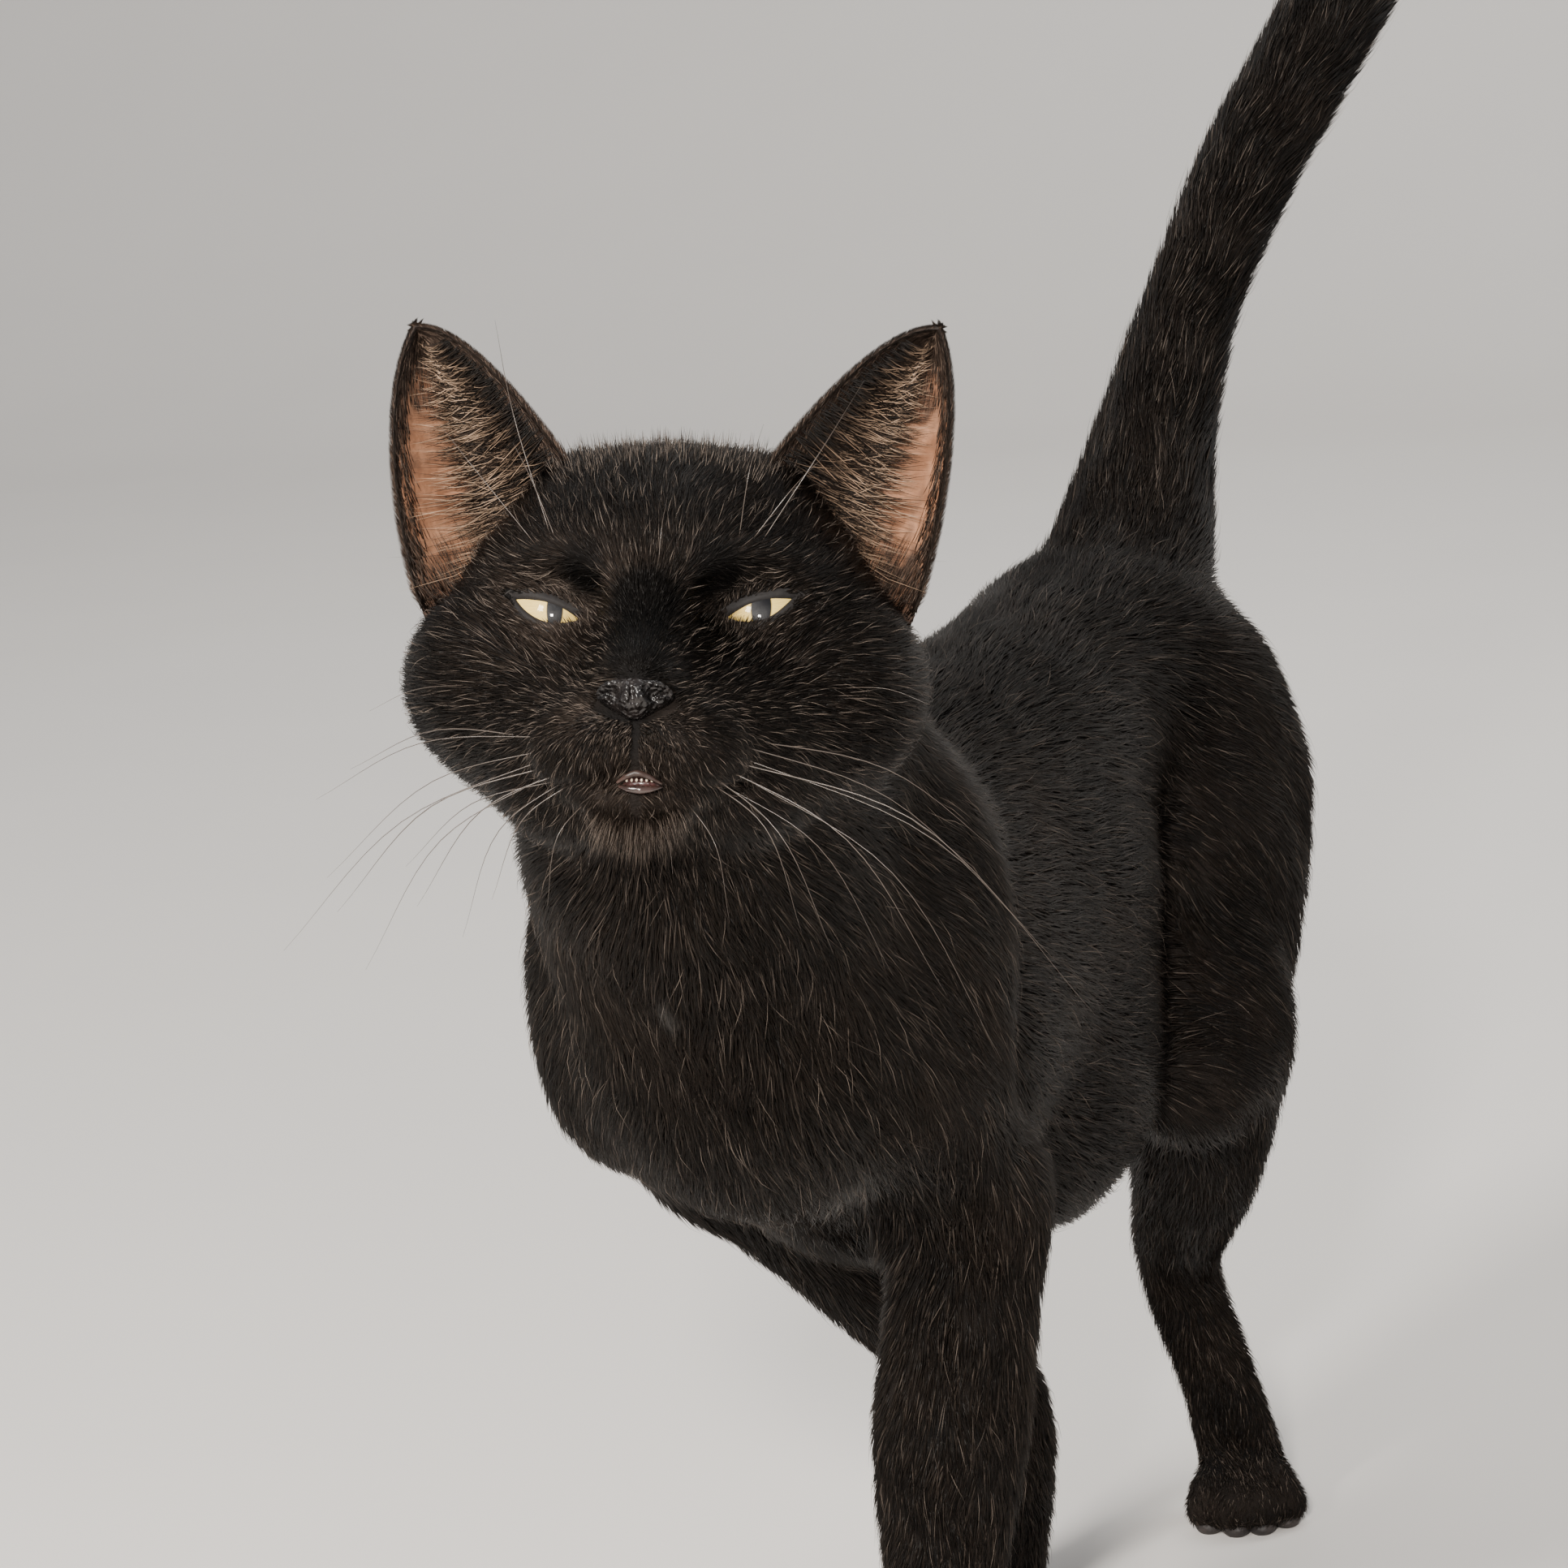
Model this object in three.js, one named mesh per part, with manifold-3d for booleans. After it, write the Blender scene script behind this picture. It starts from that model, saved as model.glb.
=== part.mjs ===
// A short-haired domestic cat caught mid-step, solid to the tips of its coat.
// Millimetres, +Z up. The cat faces -Y and its left side is +X. While it is being built, y = 0 is the
// planted left forefoot and x = 0 the plane that halves the body. The last lines move the whole cat so
// that its origin is the middle of the floor under it.
//
// The flesh is a set of named masses, eggs and tapered bones, which run into each other smoothly.
// Each sub-part wraps a capsule or a ball around its own masses, and neighbours are parted by thin cuts.

import * as THREE from 'three';
import { mergeVertices } from 'three/addons/utils/BufferGeometryUtils.js';
import Module from 'manifold-3d';

const wasm = await Module();
wasm.setup();

// ---- Driving dimensions -------------------------------------------------------------------------

const GAP = 0.3; // clearance between neighbouring pieces
const BACK_HEIGHT = 251; // top of the loins above the floor
const RIB_HALF_WIDTH = 38;
const HIP_HALF_WIDTH = 48; // over the thighs
const SHOULDER_HALF_WIDTH = 47; // over the shoulder blades
const EYES_MIDDLE = new THREE.Vector3(11.5, -89.7, 284); // point between the eyes, at the eyes' surface
const HEAD_YAW = 17; // degrees, the face turns to the cat's left
const HEAD_LIFT = 21; // degrees, the muzzle points up
const HEAD_ROLL = 5; // degrees, the left side of the face hangs lower
const EYE_SPACING = 39; // between the two pupils
const EYE_RADIUS = 10.2;
const FACE_HALF_WIDTH = 52; // over the cheek fur
const MUZZLE_REACH = 31; // from the eyes forward to the tip of the nose
const EAR_THICKNESS = 3; // skin and fur of both sides, near the base
const EAR_TIP_THICKNESS = 1.8;
const TAIL_RADIUS = 13; // in the middle of its length, with the fur
const TOE_RADIUS = 7;
const PAD_SINK = 1.6; // the soft pads are pressed flat by this much
const TOE_SPREAD = 6.4; // between neighbouring toes
const TOE_FILLET = 6;
const LEG_FILLET = 8; // where the masses of a leg run into each other and into the torso
const TORSO_FILLET = 14;
const HEAD_FILLET = 7;
const ORBIT_FILLET = 6; // around the hollow in front of an eye
const LID_FILLET = 3;

// ---- Small helpers ------------------------------------------------------------------------------

const at = (x, y, z) => new THREE.Vector3(x, y, z);
const radians = THREE.MathUtils.degToRad;

/** Egg-shaped mass: its centre, half sizes in x, y and z, and a tilt about x in degrees. */
function egg(centre, sizes, tilt = 0) {
  const turn = new THREE.Quaternion().setFromAxisAngle(at(1, 0, 0), radians(-tilt));
  const local = at(0, 0, 0);
  return (point) => {
    local.copy(point).sub(centre).applyQuaternion(turn).divide(sizes);
    const reach = local.length();
    const slope = local.divide(sizes).length();
    return slope === 0 ? -Math.min(sizes.x, sizes.y, sizes.z) : (reach * (reach - 1)) / slope;
  };
}

/** Tapered bone with round ends, from one point and radius to another. */
function bone(from, to, fromRadius, toRadius) {
  const along = to.clone().sub(from);
  const span = along.lengthSq();
  const local = at(0, 0, 0);
  return (point) => {
    local.copy(point).sub(from);
    const share = THREE.MathUtils.clamp(local.dot(along) / span, 0, 1);
    const radius = THREE.MathUtils.lerp(fromRadius, toRadius, share);
    return local.addScaledVector(along, -share).length() - radius;
  };
}

/** Smoothly bent limb through a chain of joints, each joint a point and a radius. */
function limb(joints) {
  const curve = new THREE.CatmullRomCurve3(joints.map((joint) => joint.at.clone()));
  const steps = 3 * (joints.length - 1);
  const radiusAt = (i) => {
    const near = Math.min(Math.floor(i / 3), joints.length - 2);
    return THREE.MathUtils.lerp(joints[near].radius, joints[near + 1].radius, i / 3 - near);
  };
  const bones = Array.from({ length: steps }, (_, i) => bone(
    curve.getPoint(i / steps), curve.getPoint((i + 1) / steps), radiusAt(i), radiusAt(i + 1),
  ));
  return (point) => bones.reduce((distance, part) => Math.min(distance, part(point)), 1e6);
}

/** One body out of many masses, with fillets about as wide as soft. */
function flesh(masses, soft) {
  return (point) => masses.reduce((distance, mass) => {
    const other = mass(point);
    const overlap = Math.max(soft - Math.abs(distance - other), 0) / soft;
    return Math.min(distance, other) - (overlap * overlap * soft) / 4;
  }, 1e6);
}

/** A body with another one scooped out of it, the rim rounded over about soft. */
function scooped(body, scoop, soft) {
  return (point) => {
    const distance = body(point);
    const other = -scoop(point);
    const overlap = Math.max(soft - Math.abs(distance - other), 0) / soft;
    return Math.max(distance, other) + (overlap * overlap * soft) / 4;
  };
}

/** First place where a ray from inside the body leaves it, the body thickened by grow. */
function surfaceAlong(body, start, direction, grow) {
  const step = 1.5;
  const point = at(0, 0, 0);
  const outside = (s) => body(point.copy(start).addScaledVector(direction, s)) - grow > 0;
  let near = 0;
  while (!outside(near + step) && near < 200) near += step;
  let far = near + step;
  for (let i = 0; i < 18; i += 1) {
    const middle = (near + far) / 2;
    if (outside(middle)) far = middle;
    else near = middle;
  }
  return start.clone().addScaledVector(direction, (near + far) / 2);
}

/** Wraps a capsule around an axis that runs inside the body. */
function wrapAlong(body, axis, { around, along, caps, grow = 0 }) {
  const capsule = new THREE.CapsuleGeometry(1, along, caps, around, along);
  const position = capsule.attributes.position;
  const offset = at(0, 0, 0);
  for (let i = 0; i < position.count; i += 1) {
    offset.fromBufferAttribute(position, i);
    const height = THREE.MathUtils.clamp(offset.y, -along / 2, along / 2);
    const share = height / along + 0.5;
    const tangent = axis.getTangentAt(share);
    const side = at(1, 0, 0).addScaledVector(tangent, -tangent.x).normalize();
    const front = side.clone().cross(tangent);
    const direction = side.multiplyScalar(offset.x);
    direction.addScaledVector(tangent, offset.y - height).addScaledVector(front, offset.z).normalize();
    const hit = surfaceAlong(body, axis.getPointAt(share), direction, grow);
    position.setXYZ(i, hit.x, hit.y, hit.z);
  }
  return solid(capsule);
}

/** Wraps a ball around a middle point, its faces finer towards the given side. */
function wrapBall(body, middle, { detail, finer, grow = 0 }) {
  const ball = new THREE.IcosahedronGeometry(1, detail);
  const position = ball.attributes.position;
  const direction = at(0, 0, 0);
  for (let i = 0; i < position.count; i += 1) {
    direction.fromBufferAttribute(position, i).add(finer).normalize();
    const hit = surfaceAlong(body, middle, direction, grow);
    position.setXYZ(i, hit.x, hit.y, hit.z);
  }
  return solid(ball);
}

/** Turns a closed geometry into a solid that can be joined and cut. */
function solid(geometry) {
  geometry.deleteAttribute('normal');
  geometry.deleteAttribute('uv');
  const merged = mergeVertices(geometry, 1e-4);
  const corners = Array.from(merged.index.array);
  const triangles = [];
  for (let i = 0; i < corners.length; i += 3) {
    const [a, b, c] = corners.slice(i, i + 3);
    if (a !== b && b !== c && c !== a) triangles.push(a, b, c);
  }
  const vertProperties = new Float32Array(merged.attributes.position.array);
  const mesh = new wasm.Mesh({ numProp: 3, vertProperties, triVerts: new Uint32Array(triangles) });
  mesh.merge();
  return new wasm.Manifold(mesh);
}

/** The biggest body that a cut leaves, without crumbs. */
function largest(cut) {
  return cut.decompose().sort((a, b) => b.volume() - a.volume())[0];
}

/** A named mesh of a solid. */
function piece(name, body, { color, roughness = 0.9, metalness = 0 }) {
  const { vertProperties, triVerts } = body.getMesh();
  const geometry = new THREE.BufferGeometry();
  geometry.setAttribute('position', new THREE.BufferAttribute(vertProperties, 3));
  geometry.setIndex(new THREE.BufferAttribute(triVerts, 1));
  geometry.computeVertexNormals();
  const mesh = new THREE.Mesh(geometry, new THREE.MeshStandardMaterial({ color, roughness, metalness }));
  mesh.name = name;
  return mesh;
}

// ---- Finishes -----------------------------------------------------------------------------------

const FUR = { color: 0x14110f, roughness: 0.85 };
const LEATHER = { color: 0x0c0b0b, roughness: 0.35 };
const EYE = { color: 0xd9b45a, roughness: 0.1 };

// ---- Head ---------------------------------------------------------------------------------------
// The head has its own axes: x to the cat's left, -y forward along the muzzle line, z up, with the
// origin between the eyes. headFrame carries it into place.

const headFrame = new THREE.Matrix4().makeRotationZ(radians(HEAD_YAW))
  .multiply(new THREE.Matrix4().makeRotationX(radians(-HEAD_LIFT)))
  .multiply(new THREE.Matrix4().makeRotationY(radians(HEAD_ROLL)))
  .setPosition(EYES_MIDDLE);

const EYE_DEPTH = 9.2; // from the plane between the eyes back to each ball's middle
const EYE_DROP = 0.4; // of the balls below the origin
const LID_THICKNESS = 1.4;
const eyeMiddle = (side) => at((side * EYE_SPACING) / 2, EYE_DEPTH, -EYE_DROP);

/** The masses that both sides of the head have. */
function sideOfHead(side) {
  return [
    egg(at(side * (FACE_HALF_WIDTH - 25.5), 24, -9), at(24, 26, 21.5)), // cheek
    egg(at(side * 14, 8, -27), at(18, 20, 17)), // jowl
    egg(at(side * 25, 13, -9), at(17, 12, 12)), // cheekbone
    egg(at(side * 20, 13, 9), at(15, 13, 9)), // brow
    bone(at(side * 8, -6, -24), at(side * 25, 14, -20), 11, 14), // side of the muzzle
    egg(at(side * 8.5, 14 - MUZZLE_REACH, -29.5), at(11.5, 11.5, 9)), // whisker pad
  ];
}

const headMasses = [
  egg(at(0, 30, 4), at(40, 43, 33)), // cranium
  bone(at(-17, 26, 27), at(17, 26, 27), 10, 10), // crown
  egg(at(0, 20, 12), at(29, 20, 21), 14), // forehead
  bone(at(0, 9, 1), at(0, 12 - MUZZLE_REACH, -17), 12, 8.5), // bridge of the nose
  egg(at(0, 14 - MUZZLE_REACH, -37.5), at(10, 10, 8)), // chin
  bone(at(0, -6, -34), at(0, 24, -26), 10, 19), // jaw
  ...sideOfHead(1),
  ...sideOfHead(-1),
];
const HEAD_CORE = at(0, 14, -9);
const roundEye = (side, reach) => egg(eyeMiddle(side), at(reach, reach, reach));
const LID_REACH = EYE_RADIUS + LID_THICKNESS;
const orbit = (side) => egg(at(side * 20, -5, 0), at(13, 4.5, 6));
const skull = flesh(headMasses, HEAD_FILLET);
const hollowed = scooped(scooped(skull, orbit(1), ORBIT_FILLET), orbit(-1), ORBIT_FILLET);
const headBody = flesh([hollowed, roundEye(1, LID_REACH), roundEye(-1, LID_REACH)], LID_FILLET);

function makeHead(grow) {
  const finer = at(0, -0.35, -0.12);
  return wrapBall(headBody, HEAD_CORE, { detail: 8, finer, grow }).transform(headFrame.elements);
}

// ---- Eyes ---------------------------------------------------------------------------------------

/** Ball of an eye, or with grow the room it needs. */
function makeEye(side, grow) {
  const ball = new THREE.SphereGeometry(EYE_RADIUS + grow, 12, 8);
  ball.rotateX(Math.PI / 2);
  const middle = eyeMiddle(side);
  ball.translate(middle.x, middle.y, middle.z);
  return solid(ball).transform(headFrame.elements);
}

const LID_OPENING = { width: 15, upper: 0.9, lower: 3.6, slant: 20 };

/** The slanting almond between the half closed lids, as a cutter. */
function makeLidOpening(side) {
  const { width, upper, lower, slant } = LID_OPENING;
  const almond = new THREE.Shape();
  almond.moveTo(-width / 2, 0);
  almond.quadraticCurveTo(0, -2 * lower, width / 2, 0);
  almond.quadraticCurveTo(0, 2 * upper, -width / 2, 0);
  const cutter = new THREE.ExtrudeGeometry(almond, { depth: 22, bevelEnabled: false, curveSegments: 7 });
  cutter.rotateX(Math.PI / 2);
  cutter.rotateY(radians(-side * slant));
  const middle = eyeMiddle(side);
  cutter.translate(middle.x, middle.y, middle.z);
  return solid(cutter).transform(headFrame.elements);
}

// ---- Nose ---------------------------------------------------------------------------------------

const NOSE = { width: 14, height: 9, depth: 10, middle: at(0, 4 - MUZZLE_REACH, -22) };

/** Leather of the nose: broad above, narrowing down to the lip. */
function makeNose(grow) {
  const { width, height, depth, middle } = NOSE;
  const pad = new THREE.SphereGeometry(1, 14, 9);
  const position = pad.attributes.position;
  for (let i = 0; i < position.count; i += 1) {
    const height01 = (position.getZ(i) + 1) / 2;
    const narrow = THREE.MathUtils.lerp(0.45, 1, THREE.MathUtils.smoothstep(height01, 0, 0.75));
    position.setX(i, position.getX(i) * narrow);
  }
  pad.scale(width / 2 + grow, depth / 2 + grow, height / 2 + grow);
  pad.rotateX(radians(-18));
  pad.translate(middle.x, middle.y, middle.z);
  return solid(pad).transform(headFrame.elements);
}

// ---- Ears ---------------------------------------------------------------------------------------
// An ear is a cupped leaf between two rims. Both rims start in the head and meet at the tip.

const EAR_RIMS = {
  inner: [at(17, 17, 29), at(28, 17, 44), at(41, 20, 61), at(53, 22, 60.8)],
  outer: [at(46, 24, 2), at(53, 16, 22), at(54.3, 18, 49), at(53, 22, 60.8)],
};
const EAR_CUP = at(-2, 14, 0); // how far the middle of the leaf is pushed back

function makeEar(side) {
  const inner = new THREE.CubicBezierCurve3(...EAR_RIMS.inner);
  const outer = new THREE.CubicBezierCurve3(...EAR_RIMS.outer);
  const leaf = (across, up) => {
    const point = inner.getPoint(up).lerp(outer.getPoint(up), across);
    const cup = 4 * across * (1 - across) * Math.sqrt(Math.max(1 - up, 0));
    return point.addScaledVector(EAR_CUP, cup);
  };
  const slab = new THREE.BoxGeometry(1, 1, 1, 6, 8, 1);
  const position = slab.attributes.position;
  for (let i = 0; i < position.count; i += 1) {
    const across = position.getX(i) + 0.5;
    const up = position.getY(i) + 0.5;
    const step = 0.01;
    const ahead = leaf(across, Math.min(up + step, 1)).sub(leaf(across, Math.max(up - step, 0)));
    const sideways = leaf(Math.min(across + step, 1), up).sub(leaf(Math.max(across - step, 0), up));
    const normal = sideways.cross(ahead).normalize();
    const thickness = THREE.MathUtils.lerp(EAR_THICKNESS, EAR_TIP_THICKNESS, up);
    const point = leaf(across, up).addScaledVector(normal, position.getZ(i) * thickness);
    position.setXYZ(i, side * point.x, point.y, point.z);
  }
  if (side < 0) slab.index.array.reverse();
  return solid(slab).transform(headFrame.elements);
}

// ---- Torso --------------------------------------------------------------------------------------
// Trunk and neck are one bent body, parted later.

const torsoBody = flesh([
  egg(at(0, 48, 180), at(RIB_HALF_WIDTH, 68, 56)), // ribs
  egg(at(0, 115, 182), at(RIB_HALF_WIDTH - 1, 80, 55)), // belly
  egg(at(5, 128, 141), at(28, 54, 37)), // loose skin under the belly
  bone(at(0, 60, 214), at(0, 205, BACK_HEIGHT - 34), 26, 33), // loins
  egg(at(0, 224, 206), at(43, 43, 41)), // rump
  egg(at(0, 18, 212), at(28, 44, 25)), // withers
  egg(at(1, -30, 190), at(37, 34, 36)), // breast
  bone(at(0, -26, 174), at(0, 34, 150), 22, 25), // breastbone
  bone(at(6, -50, 258), at(1, 14, 214), 33, 36), // nape
  bone(at(3, -62, 236), at(1, -32, 198), 34, 36), // throat
], TORSO_FILLET);
const torsoAxis = new THREE.CatmullRomCurve3([
  at(0, 232, 205), at(0, 170, 200), at(0, 100, 190), at(0, 40, 186), at(1, 0, 196),
  at(3, -30, 220), at(6, -52, 250),
]);
const NECK_START = 0.76; // share of the axis from the rump

function makeTorso(grow) {
  return wrapAlong(torsoBody, torsoAxis, { around: 18, along: 17, caps: 4, grow });
}

// ---- Legs ---------------------------------------------------------------------------------------
// The masses of a shoulder or thigh are wrapped as a ball around a core. Below them a chain of joints
// runs down to the ball of the foot, with four toes. The heading is where the toes point, in degrees
// from straight ahead, positive to the cat's left.

function makeToes(ball, heading, radius) {
  const forward = at(Math.sin(radians(heading)), -Math.cos(radians(heading)), 0);
  const left = at(Math.cos(radians(heading)), Math.sin(radians(heading)), 0);
  return [-1.5, -0.5, 0.5, 1.5].map((place) => {
    const lead = Math.abs(place) > 1 ? 5 : 9; // the two middle toes reach further
    const knuckle = ball.clone().addScaledVector(left, place * TOE_SPREAD * 0.75);
    const tip = ball.clone().addScaledVector(left, place * TOE_SPREAD).addScaledVector(forward, lead);
    tip.z = radius - PAD_SINK;
    return bone(knuckle, tip, radius, radius * 0.92);
  });
}

/** Flat mass of a shoulder blade, at a place along the body, drawn out sideways by spread. */
function shoulderBlade(side, along, spread) {
  const middle = at(side * (SHOULDER_HALF_WIDTH - 19 + spread), along, 198);
  return egg(middle, at(18 + spread / 2, 33, 39));
}

/** Flat mass of a thigh that leans forward from the hip by lean degrees. */
function thigh(side, along, height, lean) {
  return egg(at(side * (HIP_HALF_WIDTH - 19), along, height), at(20, 37, 57), -lean);
}

const legs = {
  foreleg_left: {
    core: at(27, -10, 184),
    masses: [shoulderBlade(1, -8, 1), bone(at(27, -16, 176), at(28, 13, 142), 20, 15)],
    joints: [
      { at: at(29, 12, 146), radius: 17 },
      { at: at(21, 9, 94), radius: 17.5 },
      { at: at(17.5, 6, 60), radius: 13 },
      { at: at(16, 4, 34), radius: 11.5 },
      { at: at(15.8, 1, 14), radius: 11.5 },
    ],
    ball: at(15.8, -7, 9),
    heading: 4,
  },
  foreleg_right: {
    core: at(-29, -19, 184),
    masses: [shoulderBlade(-1, -20, 2), bone(at(-29, -22, 178), at(-33, 24, 148), 18, 13.5)],
    joints: [
      { at: at(-34, 23, 151), radius: 13.5 },
      { at: at(-11, 62, 110), radius: 14.5 },
      { at: at(4, 90, 74), radius: 12.5 },
      { at: at(-2, 101, 34), radius: 11 },
      { at: at(-6.5, 106, 14.5), radius: 11 },
    ],
    ball: at(-8, 100, 9),
    heading: -4,
  },
  hindleg_left: {
    core: at(28, 206, 166),
    masses: [
      thigh(1, 211, 174, 28),
      bone(at(29, 186, 146), at(29, 174, 130), 21, 19), // knee
      bone(at(25, 234, 188), at(25, 214, 138), 23, 18), // back of the thigh
    ],
    joints: [
      { at: at(28, 188, 134), radius: 24 },
      { at: at(19, 208, 97), radius: 17 },
      { at: at(5, 233, 65), radius: 11 },
      { at: at(12, 236, 36), radius: 10.5 },
      { at: at(17, 236, 14), radius: 11 },
    ],
    ball: at(20, 226, 9),
    heading: 20,
  },
  hindleg_right: {
    core: at(-29, 186, 170),
    masses: [
      thigh(-1, 192, 176, 50),
      bone(at(-29, 152, 154), at(-31, 140, 142), 21, 19), // knee
      bone(at(-25, 228, 188), at(-28, 186, 142), 23, 18), // back of the thigh
    ],
    joints: [
      { at: at(-29, 156, 144), radius: 24 },
      { at: at(-27, 164, 102), radius: 15.5 },
      { at: at(-25, 176, 66), radius: 10.5 },
      { at: at(-27, 158, 34), radius: 10 },
      { at: at(-28, 143, 13), radius: 11 },
    ],
    ball: at(-28, 130, 9),
    heading: -4,
  },
};

/** Rounds the corner between a part of a leg and the torso that it lies against. */
function filleted(own) {
  const joined = flesh([own, torsoBody], LEG_FILLET);
  return (point) => Math.max(joined(point), own(point) - LEG_FILLET / 4);
}

function makeLeg({ core, masses, joints, ball, heading }, grow) {
  const upper = filleted(flesh(masses, LEG_FILLET));
  const lower = filleted(flesh([limb(joints), ...makeToes(ball, heading, TOE_RADIUS)], TOE_FILLET));
  const axis = new THREE.CatmullRomCurve3([...joints.map((joint) => joint.at.clone()), ball.clone()]);
  return wrapBall(upper, core, { detail: 3, finer: at(0, 0, 0), grow })
    .add(wrapAlong(lower, axis, { around: 10, along: 9, caps: 4, grow }));
}

// ---- Tail ---------------------------------------------------------------------------------------

const tailJoints = [
  { at: at(0, 236, 226), radius: 26 },
  { at: at(1, 256, 246), radius: 21 },
  { at: at(4, 272, 272), radius: TAIL_RADIUS + 3 },
  { at: at(12, 285, 302), radius: TAIL_RADIUS },
  { at: at(24.5, 301, 334), radius: TAIL_RADIUS + 0.8 },
  { at: at(40.5, 323.5, 366), radius: TAIL_RADIUS + 1.4 },
  { at: at(54, 343.5, 397), radius: TAIL_RADIUS + 1.6 },
  { at: at(65, 357.5, 429), radius: TAIL_RADIUS + 1 },
  { at: at(70.5, 366, 460), radius: TAIL_RADIUS - 1 },
];
const tailBody = limb(tailJoints);
const tailAxis = new THREE.CatmullRomCurve3(tailJoints.map((joint) => joint.at.clone()));
const TAIL_PARTINGS = [0.36, 0.68]; // shares of the axis from the root

function makeTail() {
  return wrapAlong(tailBody, tailAxis, { around: 9, along: 15, caps: 3 });
}

// ---- Parting ------------------------------------------------------------------------------------

/** A block that holds everything past a place along an axis, with the gap left free. */
function past(axis, share, clearance) {
  const size = 600;
  const block = new THREE.BoxGeometry(size, size, size);
  block.translate(0, size / 2 + clearance, 0);
  block.applyQuaternion(new THREE.Quaternion().setFromUnitVectors(at(0, 1, 0), axis.getTangentAt(share)));
  const place = axis.getPointAt(share);
  block.translate(place.x, place.y, place.z);
  return solid(block);
}

/** Parts a body across its axis into lengths, with thin gaps between them. */
function lengths(body, axis, partings) {
  const starts = [null, ...partings];
  return starts.map((start, i) => {
    let length = body;
    if (start !== null) length = length.intersect(past(axis, start, GAP / 2));
    if (i < partings.length) length = length.subtract(past(axis, partings[i], -GAP / 2));
    return length;
  });
}

// ---- Assembly -----------------------------------------------------------------------------------

const cat = new THREE.Group();

const floorBlock = new THREE.BoxGeometry(800, 800, 100);
floorBlock.translate(0, 100, -50);
const floor = solid(floorBlock);

const headGrown = makeHead(GAP);
const legRooms = Object.values(legs).map((leg) => makeLeg(leg, 0).add(makeLeg(leg, GAP)));
const [trunk, neck] = lengths(makeTorso(0), torsoAxis, [NECK_START])
  .map((length) => legRooms.reduce((rest, room) => rest.subtract(room), length));

let head = makeHead(0).subtract(makeNose(GAP));
for (const side of [1, -1]) {
  const name = side > 0 ? 'left' : 'right';
  head = head.subtract(makeEye(side, GAP)).subtract(makeLidOpening(side));
  cat.add(piece(`eye_${name}`, makeEye(side, 0), EYE));
  cat.add(piece(`ear_${name}`, largest(makeEar(side).subtract(headGrown)), FUR));
}
cat.add(piece('nose', makeNose(0), LEATHER));
cat.add(piece('head', largest(head), FUR));
cat.add(piece('neck', largest(neck.subtract(headGrown)), FUR));
cat.add(piece('trunk', largest(trunk), FUR));
for (const [name, leg] of Object.entries(legs)) {
  cat.add(piece(name, largest(makeLeg(leg, 0).subtract(headGrown).subtract(floor)), FUR));
}
const trunkRoom = makeTorso(GAP);
lengths(makeTail().subtract(trunkRoom), tailAxis, TAIL_PARTINGS).forEach((length, i) => {
  cat.add(piece(`tail_${i + 1}`, largest(length), FUR));
});

const extent = new THREE.Box3().setFromObject(cat, true);
const middle = extent.getCenter(at(0, 0, 0));
cat.position.set(-middle.x, -middle.y, -extent.min.z);

export default cat;
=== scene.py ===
"""A short-haired black cat caught mid-step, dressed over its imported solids.

One skin stands for all the solids of flesh. It is shaped by the same named masses as the solids,
sunk by the depth of the coat, and short tufts that follow the lie of the coat cover it. The cat is
built in millimetres in the places of its design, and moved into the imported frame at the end.
"""

import logging
import math
from dataclasses import dataclass, field
from enum import Enum
from typing import Callable, Protocol, Sequence

import bmesh
import bpy
import numpy as np
from mathutils import Matrix, Vector


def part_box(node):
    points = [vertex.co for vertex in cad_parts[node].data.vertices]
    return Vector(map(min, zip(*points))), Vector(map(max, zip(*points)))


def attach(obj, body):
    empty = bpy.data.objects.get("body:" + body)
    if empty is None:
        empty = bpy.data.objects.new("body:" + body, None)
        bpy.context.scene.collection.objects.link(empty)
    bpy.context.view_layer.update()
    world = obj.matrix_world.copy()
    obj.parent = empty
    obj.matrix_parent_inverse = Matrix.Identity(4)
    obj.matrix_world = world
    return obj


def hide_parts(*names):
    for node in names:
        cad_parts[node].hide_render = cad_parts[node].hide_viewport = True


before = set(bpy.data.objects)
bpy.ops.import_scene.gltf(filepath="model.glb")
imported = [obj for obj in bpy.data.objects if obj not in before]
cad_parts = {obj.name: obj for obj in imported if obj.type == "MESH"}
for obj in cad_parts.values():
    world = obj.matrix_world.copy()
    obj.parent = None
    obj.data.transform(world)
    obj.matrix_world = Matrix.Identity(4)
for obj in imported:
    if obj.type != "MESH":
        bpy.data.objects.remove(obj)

log = logging.getLogger("cat")

MM = 0.001
BODY = "root"
Array = np.ndarray
Box = tuple[Array, Array]
Triple = tuple[float, float, float]
Range = tuple[float, float]
Joint = tuple[Triple, float]
Path = tuple[Triple, ...]
BMesh = bmesh.types.BMesh
Material = bpy.types.Material
Object = bpy.types.Object
Socket = bpy.types.NodeSocket
X, Y, Z = range(3)
SIDES = (1, -1)

# ---- Driving dimensions, in millimetres and degrees ----

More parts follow.
